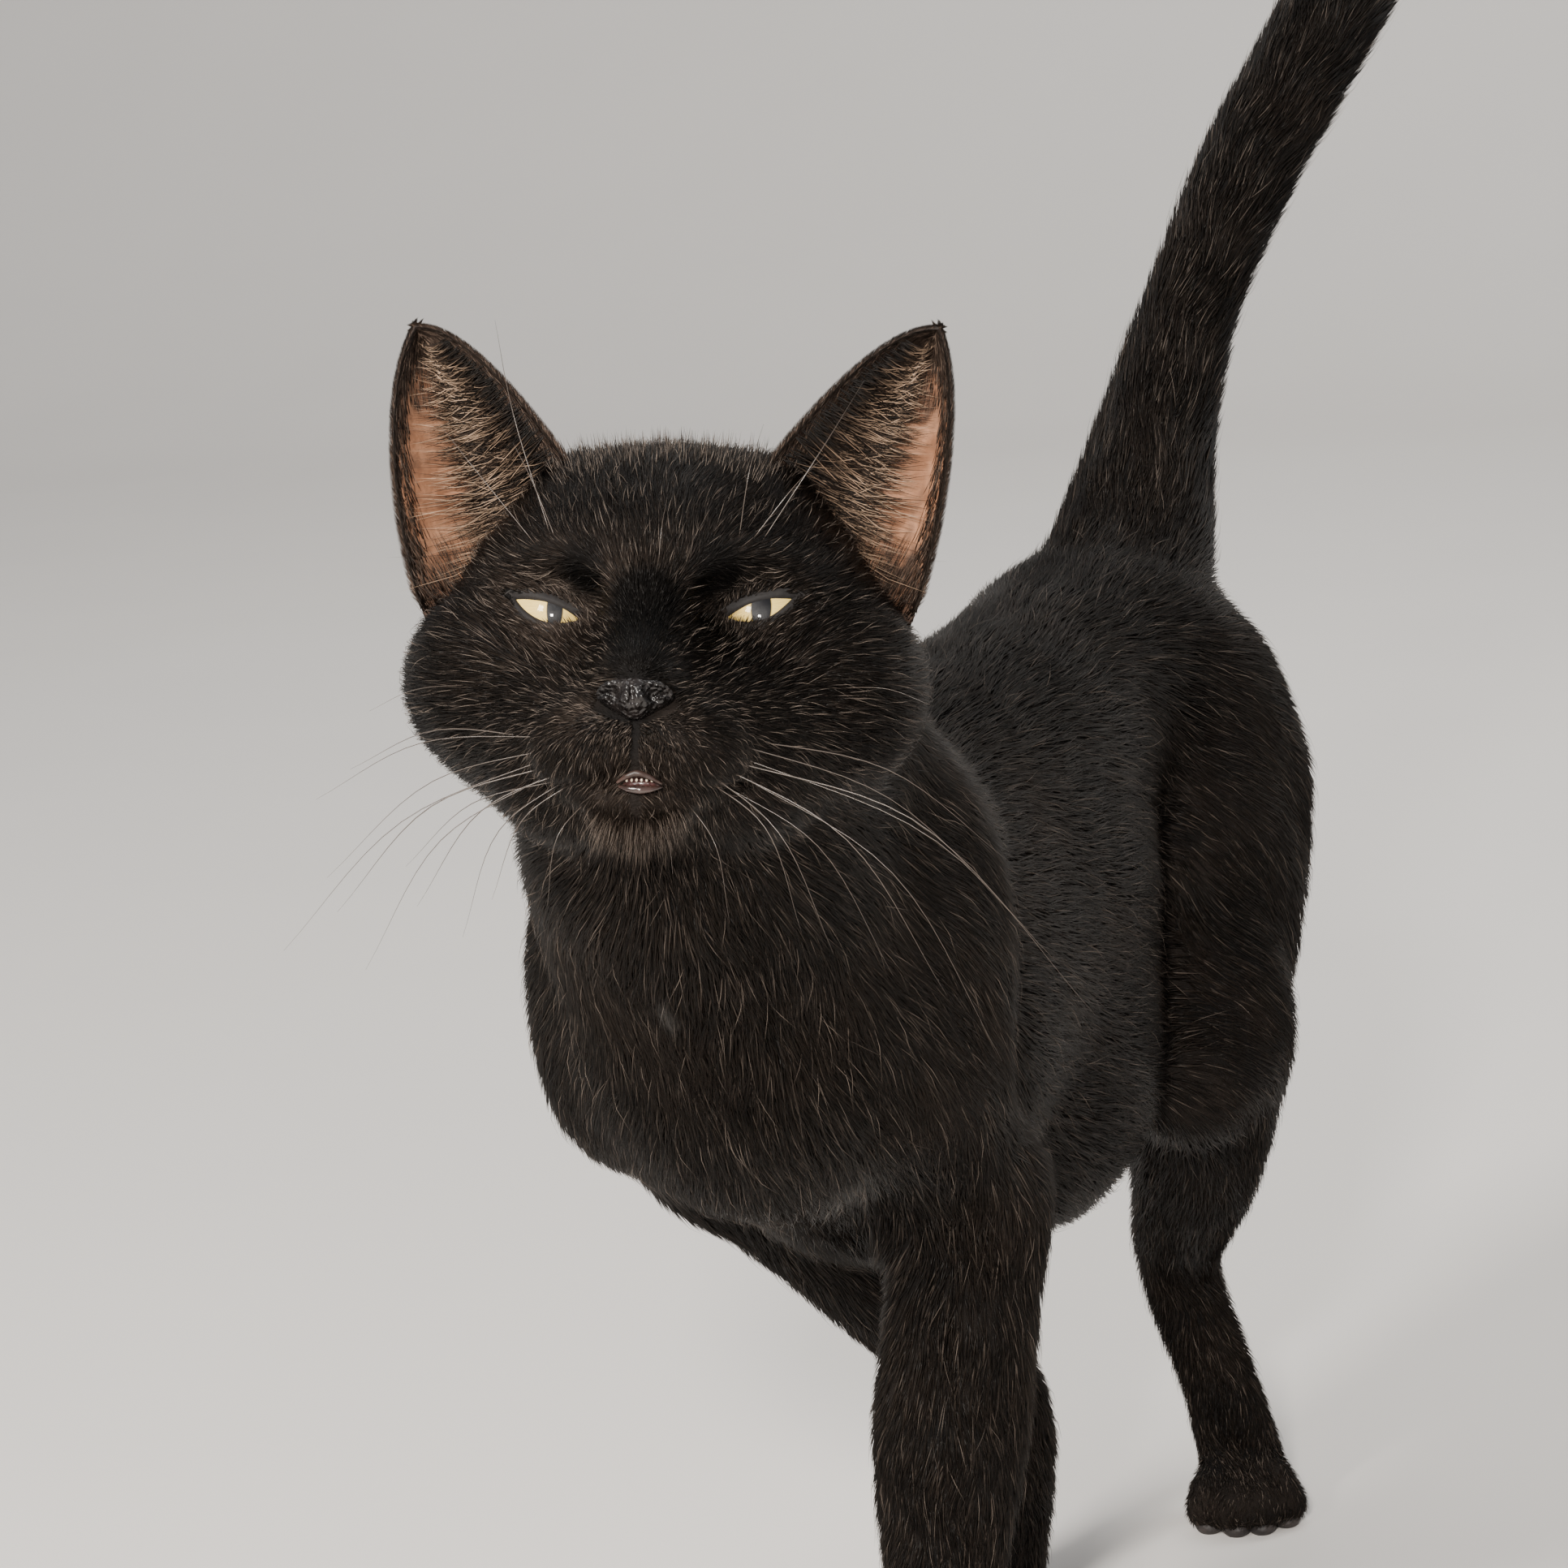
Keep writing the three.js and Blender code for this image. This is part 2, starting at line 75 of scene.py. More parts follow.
EYES_MIDDLE = np.array([11.5, -89.7, 284.0])
HEAD_YAW = 17.0
HEAD_LIFT = 21.0
HEAD_ROLL = 5.0
EYE_SPACING = 39.0
EYE_RADIUS = 10.2
EYE_DEPTH = 9.2
EYE_DROP = 0.4
LID_THICKNESS = 1.4
EAR_HEIGHT = 50.0
FACE_HALF_WIDTH = 52.0
MUZZLE_REACH = 31.0
BACK_HEIGHT = 251.0
RIB_HALF_WIDTH = 38.0
HIP_HALF_WIDTH = 48.0
SHOULDER_HALF_WIDTH = 47.0
TAIL_RADIUS = 13.0
TOE_RADIUS = 7.0
TOE_SPREAD = 6.4
PAD_SINK = 1.6
HEAD_FILLET = 7.0
ORBIT_FILLET = 6.0
LID_FILLET = 3.0
TORSO_FILLET = 14.0
LEG_FILLET = 8.0
TOE_FILLET = 6.0
BODY_FILLET = 9.0
FLOOR_EDGE = 1.5
MUZZLE_FRONT = (0.0, -31.0, -19.0)
MUZZLE_MIDLINE = 0.4
FAR = 60.0
NEAR = 25.0
CHUNK = 20000
MERGE = 1e-6
SEED = 7


# ---- Small helpers ----


def turn_about(axis: int, degrees: float) -> Array:
    """Matrix of a turn.

    Args:
        axis: X, Y or Z, which it turns about.
        degrees: How far it turns.

    Returns:
        The matrix.
    """
    c, s = math.cos(math.radians(degrees)), math.sin(math.radians(degrees))
    first, second = (axis + 1) % 3, (axis + 2) % 3
    matrix = np.eye(3)
    matrix[first, first] = matrix[second, second] = c
    matrix[first, second], matrix[second, first] = -s, s
    return matrix


HEAD_TURN = turn_about(Z, HEAD_YAW) @ turn_about(X, -HEAD_LIFT) @ turn_about(Y, HEAD_ROLL)


def to_head(points: Array) -> Array:
    """Points of the design in the head's own axes."""
    return (points - EYES_MIDDLE) @ HEAD_TURN


def from_head(points: Array) -> Array:
    """Points in the head's own axes in the design."""
    return np.asarray(points, float) @ HEAD_TURN.T + EYES_MIDDLE


def eye_middle(side: int) -> Array:
    """Middle of an eyeball in the head's axes, with side 1 for the cat's left eye."""
    return np.array([side * EYE_SPACING / 2, EYE_DEPTH, -EYE_DROP])


def folded(points: Array) -> Array:
    """Points of both sides, those on the right laid over to the left."""
    return np.column_stack([np.abs(points[:, 0]), points[:, 1:]])


def unit(vectors: Array) -> Array:
    """The vectors, each made one long."""
    return vectors / np.maximum(np.linalg.norm(vectors, axis=-1, keepdims=True), 1e-9)


def smooth_step(values: Array, low: float, high: float) -> Array:
    """Zero below low, one above high, and a smooth rise between."""
    share = np.clip((values - low) / (high - low), 0, 1)
    return share * share * (3 - 2 * share)


def design_shift() -> Array:
    """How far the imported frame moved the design, in millimetres, read from the two eyes."""
    middles = [sum(map(np.array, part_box(name))) / 2 for name in ("eye_left", "eye_right")]
    packed = sum(middles) / 2 / MM
    design = (from_head(eye_middle(1)) + from_head(eye_middle(-1))) / 2
    shift = packed - design
    shift[2] = 0.0
    return shift


SHIFT = design_shift()


def to_metres(points: Array) -> Array:
    """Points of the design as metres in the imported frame."""
    return (np.asarray(points, float) + SHIFT) * MM


def to_design(points: Array) -> Array:
    """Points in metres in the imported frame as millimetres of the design."""
    return np.asarray(points, float) / MM - SHIFT


# ---- Masses of flesh ----


class Mass(Protocol):
    """Anything with a distance to its surface, negative inside."""

    def distance(self, points: Array) -> Array:
        """Distance of each point from the surface."""

    def corners(self) -> Box:
        """Lowest and highest corner of a box that holds the mass."""


def within(points: Array, box: Box, margin: float) -> Array:
    """Which points lie in a box that is widened by a margin."""
    low, high = box
    return np.all((points > low - margin) & (points < high + margin), axis=1)


def box_round(masses: Sequence[Mass]) -> Box:
    """Lowest and highest corner of a box that holds all the masses."""
    lows, highs = zip(*(mass.corners() for mass in masses))
    return np.min(lows, axis=0), np.max(highs, axis=0)


@dataclass(frozen=True)
class Egg:
    """Egg-shaped mass with half sizes along its own axes, tilted about x."""

    centre: Triple
    sizes: Triple
    tilt: float = 0.0

    def distance(self, points: Array) -> Array:
        """Distance of each point from the surface."""
        sizes = np.array(self.sizes)
        local = ((points - np.array(self.centre)) @ turn_about(X, -self.tilt).T) / sizes
        reach = np.linalg.norm(local, axis=1)
        slope = np.maximum(np.linalg.norm(local / sizes, axis=1), 1e-9)
        return np.where(reach < 1e-6, -sizes.min(), reach * (reach - 1) / slope)

    def corners(self) -> Box:
        """Lowest and highest corner of a box that holds the egg."""
        reach = max(self.sizes)
        return np.array(self.centre) - reach, np.array(self.centre) + reach


@dataclass(frozen=True)
class Bone:
    """Tapered bone with round ends."""

    start: Triple
    end: Triple
    start_radius: float
    end_radius: float

    def distance(self, points: Array) -> Array:
        """Distance of each point from the surface."""
        start = np.array(self.start)
        along = np.array(self.end) - start
        local = points - start
        share = np.clip(local @ along / (along @ along), 0, 1)
        radius = self.start_radius + (self.end_radius - self.start_radius) * share
        return np.linalg.norm(local - share[:, None] * along, axis=1) - radius

    def corners(self) -> Box:
        """Lowest and highest corner of a box that holds the bone."""
        ends = np.array([self.start, self.end])
        reach = max(self.start_radius, self.end_radius)
        return ends.min(axis=0) - reach, ends.max(axis=0) + reach


def smooth_min(first: Array, second: Array, soft: float) -> Array:
    """The lesser of two distances, with a fillet about as wide as soft."""
    overlap = np.maximum(soft - np.abs(first - second), 0) / soft
    return np.minimum(first, second) - overlap * overlap * soft / 4


def smooth_max(first: Array, second: Array, soft: float) -> Array:
    """The greater of two distances, with a fillet about as wide as soft."""
    return -smooth_min(-first, -second, soft)


@dataclass(frozen=True)
class Flesh:
    """One body out of many masses, with fillets about as wide as soft."""

    masses: tuple[Mass, ...]
    soft: float

    def distance(self, points: Array) -> Array:
        """Distance of each point from the joined surface, or FAR well away from it."""
        found = np.full(len(points), FAR)
        for mass in self.masses:
            near = within(points, mass.corners(), NEAR)
            if near.any():
                found[near] = smooth_min(found[near], mass.distance(points[near]), self.soft)
        return found

    def corners(self) -> Box:
        """Lowest and highest corner of a box that holds the body."""
        return box_round(self.masses)


def catmull_rom(points: Sequence[Triple], share: float) -> Array:
    """Place on a smooth curve through points, spaced by the square root of their distances.

    Args:
        points: What the curve goes through.
        share: 0 at the first point and 1 at the last, in equal steps from point to point.

    Returns:
        The place.
    """
    known = [np.array(p, float) for p in points]
    known = [2 * known[0] - known[1], *known, 2 * known[-1] - known[-2]]
    place = share * (len(points) - 1)
    i = min(int(place), len(points) - 2)
    a, b, c, d = known[i : i + 4]
    s, t, u = (math.sqrt(np.linalg.norm(q - p)) for p, q in ((a, b), (b, c), (c, d)))
    rise_b = ((b - a) / s - (c - a) / (s + t) + (c - b) / t) * t
    rise_c = ((c - b) / t - (d - b) / (t + u) + (d - c) / u) * t
    w = place - i
    return (
        b + rise_b * w + (3 * (c - b) - 2 * rise_b - rise_c) * w * w
        + (2 * (b - c) + rise_b + rise_c) * w**3
    )


@dataclass(frozen=True)
class Limb:
    """Smoothly bent limb through joints, each a point and a radius."""

    joints: tuple[Joint, ...]

    def bones(self) -> list[Bone]:
        """The short bones that the limb is made of, three between neighbouring joints."""
        points, radii = zip(*self.joints)
        steps = 3 * (len(points) - 1)
        places = [tuple(catmull_rom(points, i / steps)) for i in range(steps + 1)]
        sizes = np.interp(np.arange(steps + 1) / 3, np.arange(len(radii)), radii)
        return [Bone(places[i], places[i + 1], sizes[i], sizes[i + 1]) for i in range(steps)]

    def distance(self, points: Array) -> Array:
        """Distance of each point from the surface."""
        return np.min([bone.distance(points) for bone in self.bones()], axis=0)

    def corners(self) -> Box:
        """Lowest and highest corner of a box that holds the limb."""
        return box_round(self.bones())


# ---- The cat's own masses ----


class Region(Enum):
    """Parts of the body, each with its own coat."""

    HEAD = "head"
    TORSO = "torso"
    FORELEG_LEFT = "foreleg_left"
    FORELEG_RIGHT = "foreleg_right"
    HINDLEG_LEFT = "hindleg_left"
    HINDLEG_RIGHT = "hindleg_right"
    TAIL = "tail"


def side_of_head(side: int) -> list[Mass]:
    """The masses that both sides of the head have, in the head's axes."""
    return [
        Egg((side * (FACE_HALF_WIDTH - 25.5), 24, -9), (24, 26, 21.5)),
        Egg((side * 14, 8, -27), (18, 20, 17)),
        Egg((side * 25, 13, -9), (17, 12, 12)),
        Egg((side * 20, 13, 9), (15, 13, 9)),
        Bone((side * 8, -6, -24), (side * 25, 14, -20), 11, 14),
        Egg((side * 8.5, 14 - MUZZLE_REACH, -29.5), (11.5, 11.5, 9)),
    ]


@dataclass(frozen=True)
class Head:
    """The head's masses with the hollows before the eyes, the lids, and the lines of the mouth."""

    masses: Flesh = Flesh(
        (
            Egg((0, 30, 4), (40, 43, 33)),
            Bone((-17, 26, 27), (17, 26, 27), 10, 10),
            Egg((0, 20, 12), (29, 20, 21), 14),
            Bone((0, 9, 1), (0, 12 - MUZZLE_REACH, -17), 12, 8.5),
            Egg((0, 14 - MUZZLE_REACH, -37.5), (10, 10, 8)),
            Bone((0, -6, -34), (0, 24, -26), 10, 19),
            *side_of_head(1),
            *side_of_head(-1),
        ),
        HEAD_FILLET,
    )
    mouth: Path = (
        (0, -27.6, -36.0), (5, -26.2, -37.6), (10.5, -22.4, -37.6), (15.5, -15.6, -36.2),
        (19, -8, -34.6),
    )
    mouth_radii: tuple[float, ...] = (1.9, 1.1, 0.7, 0.6)
    philtrum: Path = ((0, -28.8, -26.5), (0, -28.5, -31), (0, -27.8, -35.0))
    philtrum_radii: tuple[float, ...] = (0.8, 0.8)
    groove_fillet: float = 1.4
    orbit_sizes: Triple = (13, 4.5, 6)

    def distance(self, points: Array) -> Array:
        """Distance of each point of the design from the surface of the head."""
        local = to_head(points)
        found = self.masses.distance(local)
        for side in SIDES:
            hollow = Egg((side * 20, -5, 0), self.orbit_sizes).distance(local)
            found = smooth_max(found, -hollow, ORBIT_FILLET)
        reach = EYE_RADIUS + LID_THICKNESS
        for side in SIDES:
            lids = Egg(tuple(eye_middle(side)), (reach, reach, reach)).distance(local)
            found = smooth_min(found, lids, LID_FILLET)
        mirrored = folded(local)
        for line, radii in ((self.mouth, self.mouth_radii), (self.philtrum, self.philtrum_radii)):
            for start, end, radius in zip(line, line[1:], radii):
                groove = Bone(start, end, radius, radius)
                near = within(mirrored, groove.corners(), 4)
                if near.any():
                    cut = -groove.distance(mirrored[near])
                    found[near] = smooth_max(found[near], cut, self.groove_fillet)
        return found

    def corners(self) -> Box:
        """Lowest and highest corner of a box that holds the head."""
        reach = 75.0
        middle = from_head(np.array([0, 18.0, -6]))
        return middle - reach, middle + reach


def shoulder_blade(side: int, along: float, spread: float) -> Egg:
    """Flat mass of a shoulder blade, at a place along the body, drawn out sideways by spread."""
    return Egg((side * (SHOULDER_HALF_WIDTH - 19 + spread), along, 198), (18 + spread / 2, 33, 39))


def thigh(side: int, along: float, height: float, lean: float) -> Egg:
    """Flat mass of a thigh that leans forward from the hip by lean degrees."""
    return Egg((side * (HIP_HALF_WIDTH - 19), along, height), (20, 37, 57), -lean)


@dataclass(frozen=True)
class Leg:
    """One leg: the masses of its upper part, the joints below them and a foot with four toes."""

    masses: tuple[Mass, ...]
    joints: tuple[Joint, ...]
    ball: Triple
    heading: float

    def axes(self) -> tuple[Array, Array]:
        """Directions that the toes point in, and to the left of that."""
        angle = math.radians(self.heading)
        forward = np.array([math.sin(angle), -math.cos(angle), 0])
        return forward, np.array([math.cos(angle), math.sin(angle), 0])

    def toes(self) -> list[Bone]:
        """The four toes."""
        forward, left = self.axes()
        ball = np.array(self.ball)
        found = []
        for place, lead in ((-1.5, 5), (-0.5, 9), (0.5, 9), (1.5, 5)):
            knuckle = ball + left * place * TOE_SPREAD * 0.75
            tip = ball + left * place * TOE_SPREAD + forward * lead
            tip[2] = TOE_RADIUS - PAD_SINK
            found.append(Bone(tuple(knuckle), tuple(tip), TOE_RADIUS, TOE_RADIUS * 0.92))
        return found

    def upper(self) -> Flesh:
        """The shoulder or thigh."""
        return Flesh(self.masses, LEG_FILLET)

    def lower(self) -> Flesh:
        """From the elbow or knee down, with finely parted toes."""
        toes = Flesh(tuple(self.toes()), 2.2)
        return Flesh((Limb(self.joints), toes), TOE_FILLET)


LEGS = {
    Region.FORELEG_LEFT: Leg(
        (shoulder_blade(1, -8, 1), Bone((27, -16, 176), (28, 13, 142), 20, 15)),
        (
            ((29, 12, 146), 17), ((21, 9, 94), 17.5), ((17.5, 6, 60), 13), ((16, 4, 34), 11.5),
            ((15.8, 1, 14), 11.5),
        ),
        (15.8, -7, 9), 4,
    ),
    Region.FORELEG_RIGHT: Leg(
        (shoulder_blade(-1, -20, 2), Bone((-29, -22, 178), (-33, 24, 148), 18, 13.5)),
        (
            ((-34, 23, 151), 13.5), ((-11, 62, 110), 14.5), ((4, 90, 74), 12.5),
            ((-2, 101, 34), 11), ((-6.5, 106, 14.5), 11),
        ),
        (-8, 100, 9), -4,
    ),
    Region.HINDLEG_LEFT: Leg(
        (
            thigh(1, 211, 174, 28),
            Bone((29, 186, 146), (29, 174, 130), 21, 19),
            Bone((25, 234, 188), (25, 214, 138), 23, 18),
        ),
        (
            ((28, 188, 134), 24), ((19, 208, 97), 17), ((5, 233, 65), 11), ((12, 236, 36), 10.5),
            ((17, 236, 14), 11),
        ),
        (20, 226, 9), 20,
    ),
    Region.HINDLEG_RIGHT: Leg(
        (
            thigh(-1, 192, 176, 50),
            Bone((-29, 152, 154), (-31, 140, 142), 21, 19),
            Bone((-25, 228, 188), (-28, 186, 142), 23, 18),
        ),
        (
            ((-29, 156, 144), 24), ((-27, 164, 102), 15.5), ((-25, 176, 66), 10.5),
            ((-27, 158, 34), 10), ((-28, 143, 13), 11),
        ),
        (-28, 130, 9), -4,
    ),
}

TORSO = Flesh(
    (
        Egg((0, 48, 180), (RIB_HALF_WIDTH, 68, 56)),
        Egg((0, 115, 182), (RIB_HALF_WIDTH - 1, 80, 55)),
        Egg((5, 128, 141), (28, 54, 37)),
        Bone((0, 60, 214), (0, 205, BACK_HEIGHT - 34), 26, 33),
        Egg((0, 224, 206), (43, 43, 41)),
        Egg((0, 18, 212), (28, 44, 25)),
        Egg((1, -30, 190), (37, 34, 36)),
        Bone((0, -26, 174), (0, 34, 150), 22, 25),
        Bone((6, -50, 258), (1, 14, 214), 33, 36),
        Bone((3, -62, 236), (1, -32, 198), 34, 36),
    ),
    TORSO_FILLET,
)
TORSO_AXIS = (
    (0, 232, 205), (0, 170, 200), (0, 100, 190), (0, 40, 186), (1, 0, 196), (3, -30, 220),
    (6, -52, 250),
)

TAIL_JOINTS = (
    ((0, 236, 226), 26.0), ((1, 256, 246), 21.0), ((4, 272, 272), TAIL_RADIUS + 3),
    ((12, 285, 302), TAIL_RADIUS), ((24.5, 301, 334), TAIL_RADIUS + 0.8),
    ((40.5, 323.5, 366), TAIL_RADIUS + 1.4), ((54, 343.5, 397), TAIL_RADIUS + 1.6),
    ((65, 357.5, 429), TAIL_RADIUS + 1), ((70.5, 366, 460), TAIL_RADIUS - 1),
)


@dataclass(frozen=True)
class Anatomy:
    """The whole cat's flesh, out to the tips of its coat."""

    head: Head = Head()
    tail: Limb = Limb(TAIL_JOINTS)

    def parts(self) -> list[tuple[Region, Mass]]:
        """The masses, each with the region that it belongs to."""
        found: list[tuple[Region, Mass]] = [(Region.TORSO, TORSO), (Region.HEAD, self.head)]
        for region, leg in LEGS.items():
            found += [(region, leg.upper()), (region, leg.lower())]
        return [*found, (Region.TAIL, self.tail)]

    def survey(self, points: Array) -> tuple[Array, dict[Region, Array]]:
        """Distance of each point from the tips of the coat, and from each region alone.

        Args:
            points: Points of the design.

        Returns:
            The distance from the joined surface, and one from each region.
        """
        joined = np.full(len(points), FAR)
        alone = {region: np.full(len(points), FAR) for region in Region}
        for region, part in self.parts():
            near = within(points, part.corners(), NEAR)
            if not near.any():
                continue
            own = part.distance(points[near])
            joined[near] = smooth_min(joined[near], own, BODY_FILLET)
            alone[region][near] = np.minimum(alone[region][near], own)
        return smooth_max(joined, -points[:, 2], FLOOR_EDGE), alone

    def distance(self, points: Array) -> Array:
        """Distance of each point from the tips of the coat."""
        return self.survey(points)[0]

    def slope(self, points: Array) -> tuple[Array, Array]:
        """Distance of each point from the tips of the coat, and the direction straight outwards.

        Args:
            points: Points of the design.

        Returns:
            The distances and the directions.
        """
        probes = np.array([[1, -1, -1], [-1, -1, 1], [-1, 1, -1], [1, 1, 1]]) * 0.3
        values = [self.distance(points + probe) for probe in probes]
        outward = sum(value[:, None] * probe for value, probe in zip(values, probes))
        return sum(values) / 4, unit(outward)

    def settle(self, points: Array, level: Array, steps: int = 4) -> tuple[Array, Array]:
        """Moves points straight in or out until they lie at a level.

        Args:
            points: Points of the design.
            level: Wanted distance from the tips of the coat, negative inside.
            steps: How often a point is moved.

        Returns:
            The points at that level, and the outward directions there.
        """
        moved = points.copy()
        outward = np.zeros_like(moved)
        for _ in range(steps):
            found, outward = self.slope(moved)
            moved -= outward * np.clip(found - level, -6, 6)[:, None]
        return moved, outward


ANATOMY = Anatomy()

COAT_DEPTH = dict(zip(Region, (2.2, 2.6, 1.7, 1.7, 2.0, 2.0, 2.4)))
FACE_DEPTH = 1.2
FOOT_DEPTH = 1.1


def coat_depth(points: Array) -> Array:
    """How far the skin lies under the tips of the coat.

    Args:
        points: Points of the design.

    Returns:
        The depths, in millimetres.
    """
    alone = ANATOMY.survey(points)[1]
    weights = {region: np.exp(-np.clip(alone[region], -5, 60) / 5.0) for region in Region}
    total = sum(weights.values())
    depth = sum(weights[region] * COAT_DEPTH[region] for region in Region) / total
    local = to_head(points)
    in_front = (1 - smooth_step(local[:, 1], -4, 18)) * smooth_step(alone[Region.HEAD], 4, 0)
    depth += (FACE_DEPTH - depth) * in_front
    low = smooth_step(points[:, 2], 40, 18)
    return depth + (FOOT_DEPTH - depth) * low


# ---- Meshes ----


def add_object(name: str, data: bpy.types.ID) -> Object:
    """Makes an object of a mesh, a lamp or a camera, and links it."""
    made = bpy.data.objects.new(name, data)
    bpy.context.scene.collection.objects.link(made)
    return made


def mesh_of(name: str, bm: BMesh) -> bpy.types.Mesh:
    """Makes a mesh of a bmesh, which is freed."""
    mesh = bpy.data.meshes.new(name)
    bm.to_mesh(mesh)
    bm.free()
    return mesh


def dress(piece: Object, *materials: Material) -> None:
    """Puts materials on a piece, in order."""
    for material in materials:
        piece.data.materials.append(material)


def smooth(piece: Object) -> None:
    """Shades all faces of a piece smooth."""
    piece.data.polygons.foreach_set("use_smooth", [True] * len(piece.data.polygons))


def riding(name: str, mesh: bpy.types.Mesh, slot: str, *materials: Material) -> Object:
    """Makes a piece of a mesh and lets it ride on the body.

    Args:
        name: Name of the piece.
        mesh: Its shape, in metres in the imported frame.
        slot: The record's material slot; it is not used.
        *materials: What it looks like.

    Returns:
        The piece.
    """
    piece = add_object(name, mesh)
    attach(piece, BODY)
    dress(piece, *materials)
    return piece


def smooth_piece(name: str, bm: BMesh, slot: str, *materials: Material) -> Object:
    """Makes a smooth, finished piece of a bmesh in metres.

    Args:
        name: Name of the piece.
        bm: Its shape. It is freed.
        slot: The record's material slot.
        *materials: What it looks like, in the order of its faces' material indices.

    Returns:
        The piece.
    """
    piece = riding(name, mesh_of(name, bm), slot, *materials)
    smooth(piece)
    return piece


def place(bm: BMesh, where: Callable[[Array], Array]) -> None:
    """Moves all vertices of a bmesh through a function of arrays of points."""
    points = np.array([v.co for v in bm.verts])
    for vertex, point in zip(bm.verts, where(points)):
        vertex.co = Vector(point)


def design_of(bm: BMesh) -> Array:
    """The vertices of a bmesh in metres as points of the design."""
    return to_design(np.array([v.co for v in bm.verts]))


def head_metres(points: Array) -> Array:
    """Points in the head's axes, in millimetres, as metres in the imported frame."""
    return to_metres(from_head(points))


def head_spot(point: Sequence[float]) -> Array:
    """One point in the head's axes, in millimetres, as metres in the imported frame."""
    return head_metres(np.array([point]))[0]


def append(bm: BMesh, other: BMesh) -> None:
    """Adds a second bmesh to the first, and frees the second."""
    carrier = mesh_of("carrier", other)
    bm.from_mesh(carrier)
    bpy.data.meshes.remove(carrier)


def add_ball(bm: BMesh, fineness: int, sizes: Triple, middle: Array) -> None:
    """Adds a ball, drawn out along the head's axes, to a bmesh in metres.

    Args:
        bm: What it is added to.
        fineness: How often its faces are divided.
        sizes: Half sizes along the three axes.
        middle: Its middle in the head's axes.
    """
    ball = bmesh.new()
    bmesh.ops.create_icosphere(ball, subdivisions=fineness, radius=1.0)
    place(ball, lambda points: head_metres(points * np.array(sizes) + middle))
    append(bm, ball)


@dataclass(frozen=True)
class Tube:
    """Tapering tube through points, closed at both ends."""

    points: Path
    radii: tuple[float, ...]
    sides: int
    steps: int

    def into(self, bm: BMesh) -> None:
        """Adds the tube, whose points are in the head's axes.

        Args:
            bm: What it is added to, in metres.
        """
        shares = np.linspace(0, 1, self.steps + 1)
        spine = head_metres(np.array([catmull_rom(self.points, s) for s in shares]))
        radii = np.interp(shares, np.linspace(0, 1, len(self.radii)), self.radii) * MM
        ahead = unit(np.gradient(spine, axis=0))
        least = np.eye(3)[np.argmin(np.abs(spine[-1] - spine[0]))]
        side = unit(np.cross(ahead, least))
        over = np.cross(side, ahead)
        rod = bmesh.new()
        bmesh.ops.create_cone(
            rod, cap_ends=True, segments=self.sides, radius1=1, radius2=1, depth=1,
            matrix=Matrix.Translation((0, 0, 0.5)),
        )
        long_edges = [e for e in rod.edges if abs(e.verts[0].co.z - e.verts[1].co.z) > 0.5]
        bmesh.ops.subdivide_edges(rod, edges=long_edges, cuts=self.steps - 1, use_grid_fill=True)

        def bend(points: Array) -> Array:
            """Carries the points of a straight rod onto the spine."""
            row = np.clip(np.rint(points[:, 2] * self.steps).astype(int), 0, self.steps)
            spread = points[:, :1] * side[row] + points[:, 1:2] * over[row]
            return spine[row] + spread * radii[row][:, None]

        place(rod, bend)
        bmesh.ops.recalc_face_normals(rod, faces=rod.faces)
        append(bm, rod)


@dataclass(frozen=True)
class Roots:
    """Where hair grows from: places of the design, and directions straight out of the skin."""

    places: Array
    outward: Array

    def picked(self, chosen: Array) -> "Roots":
        """Only the chosen roots."""
        return Roots(self.places[chosen], self.outward[chosen])


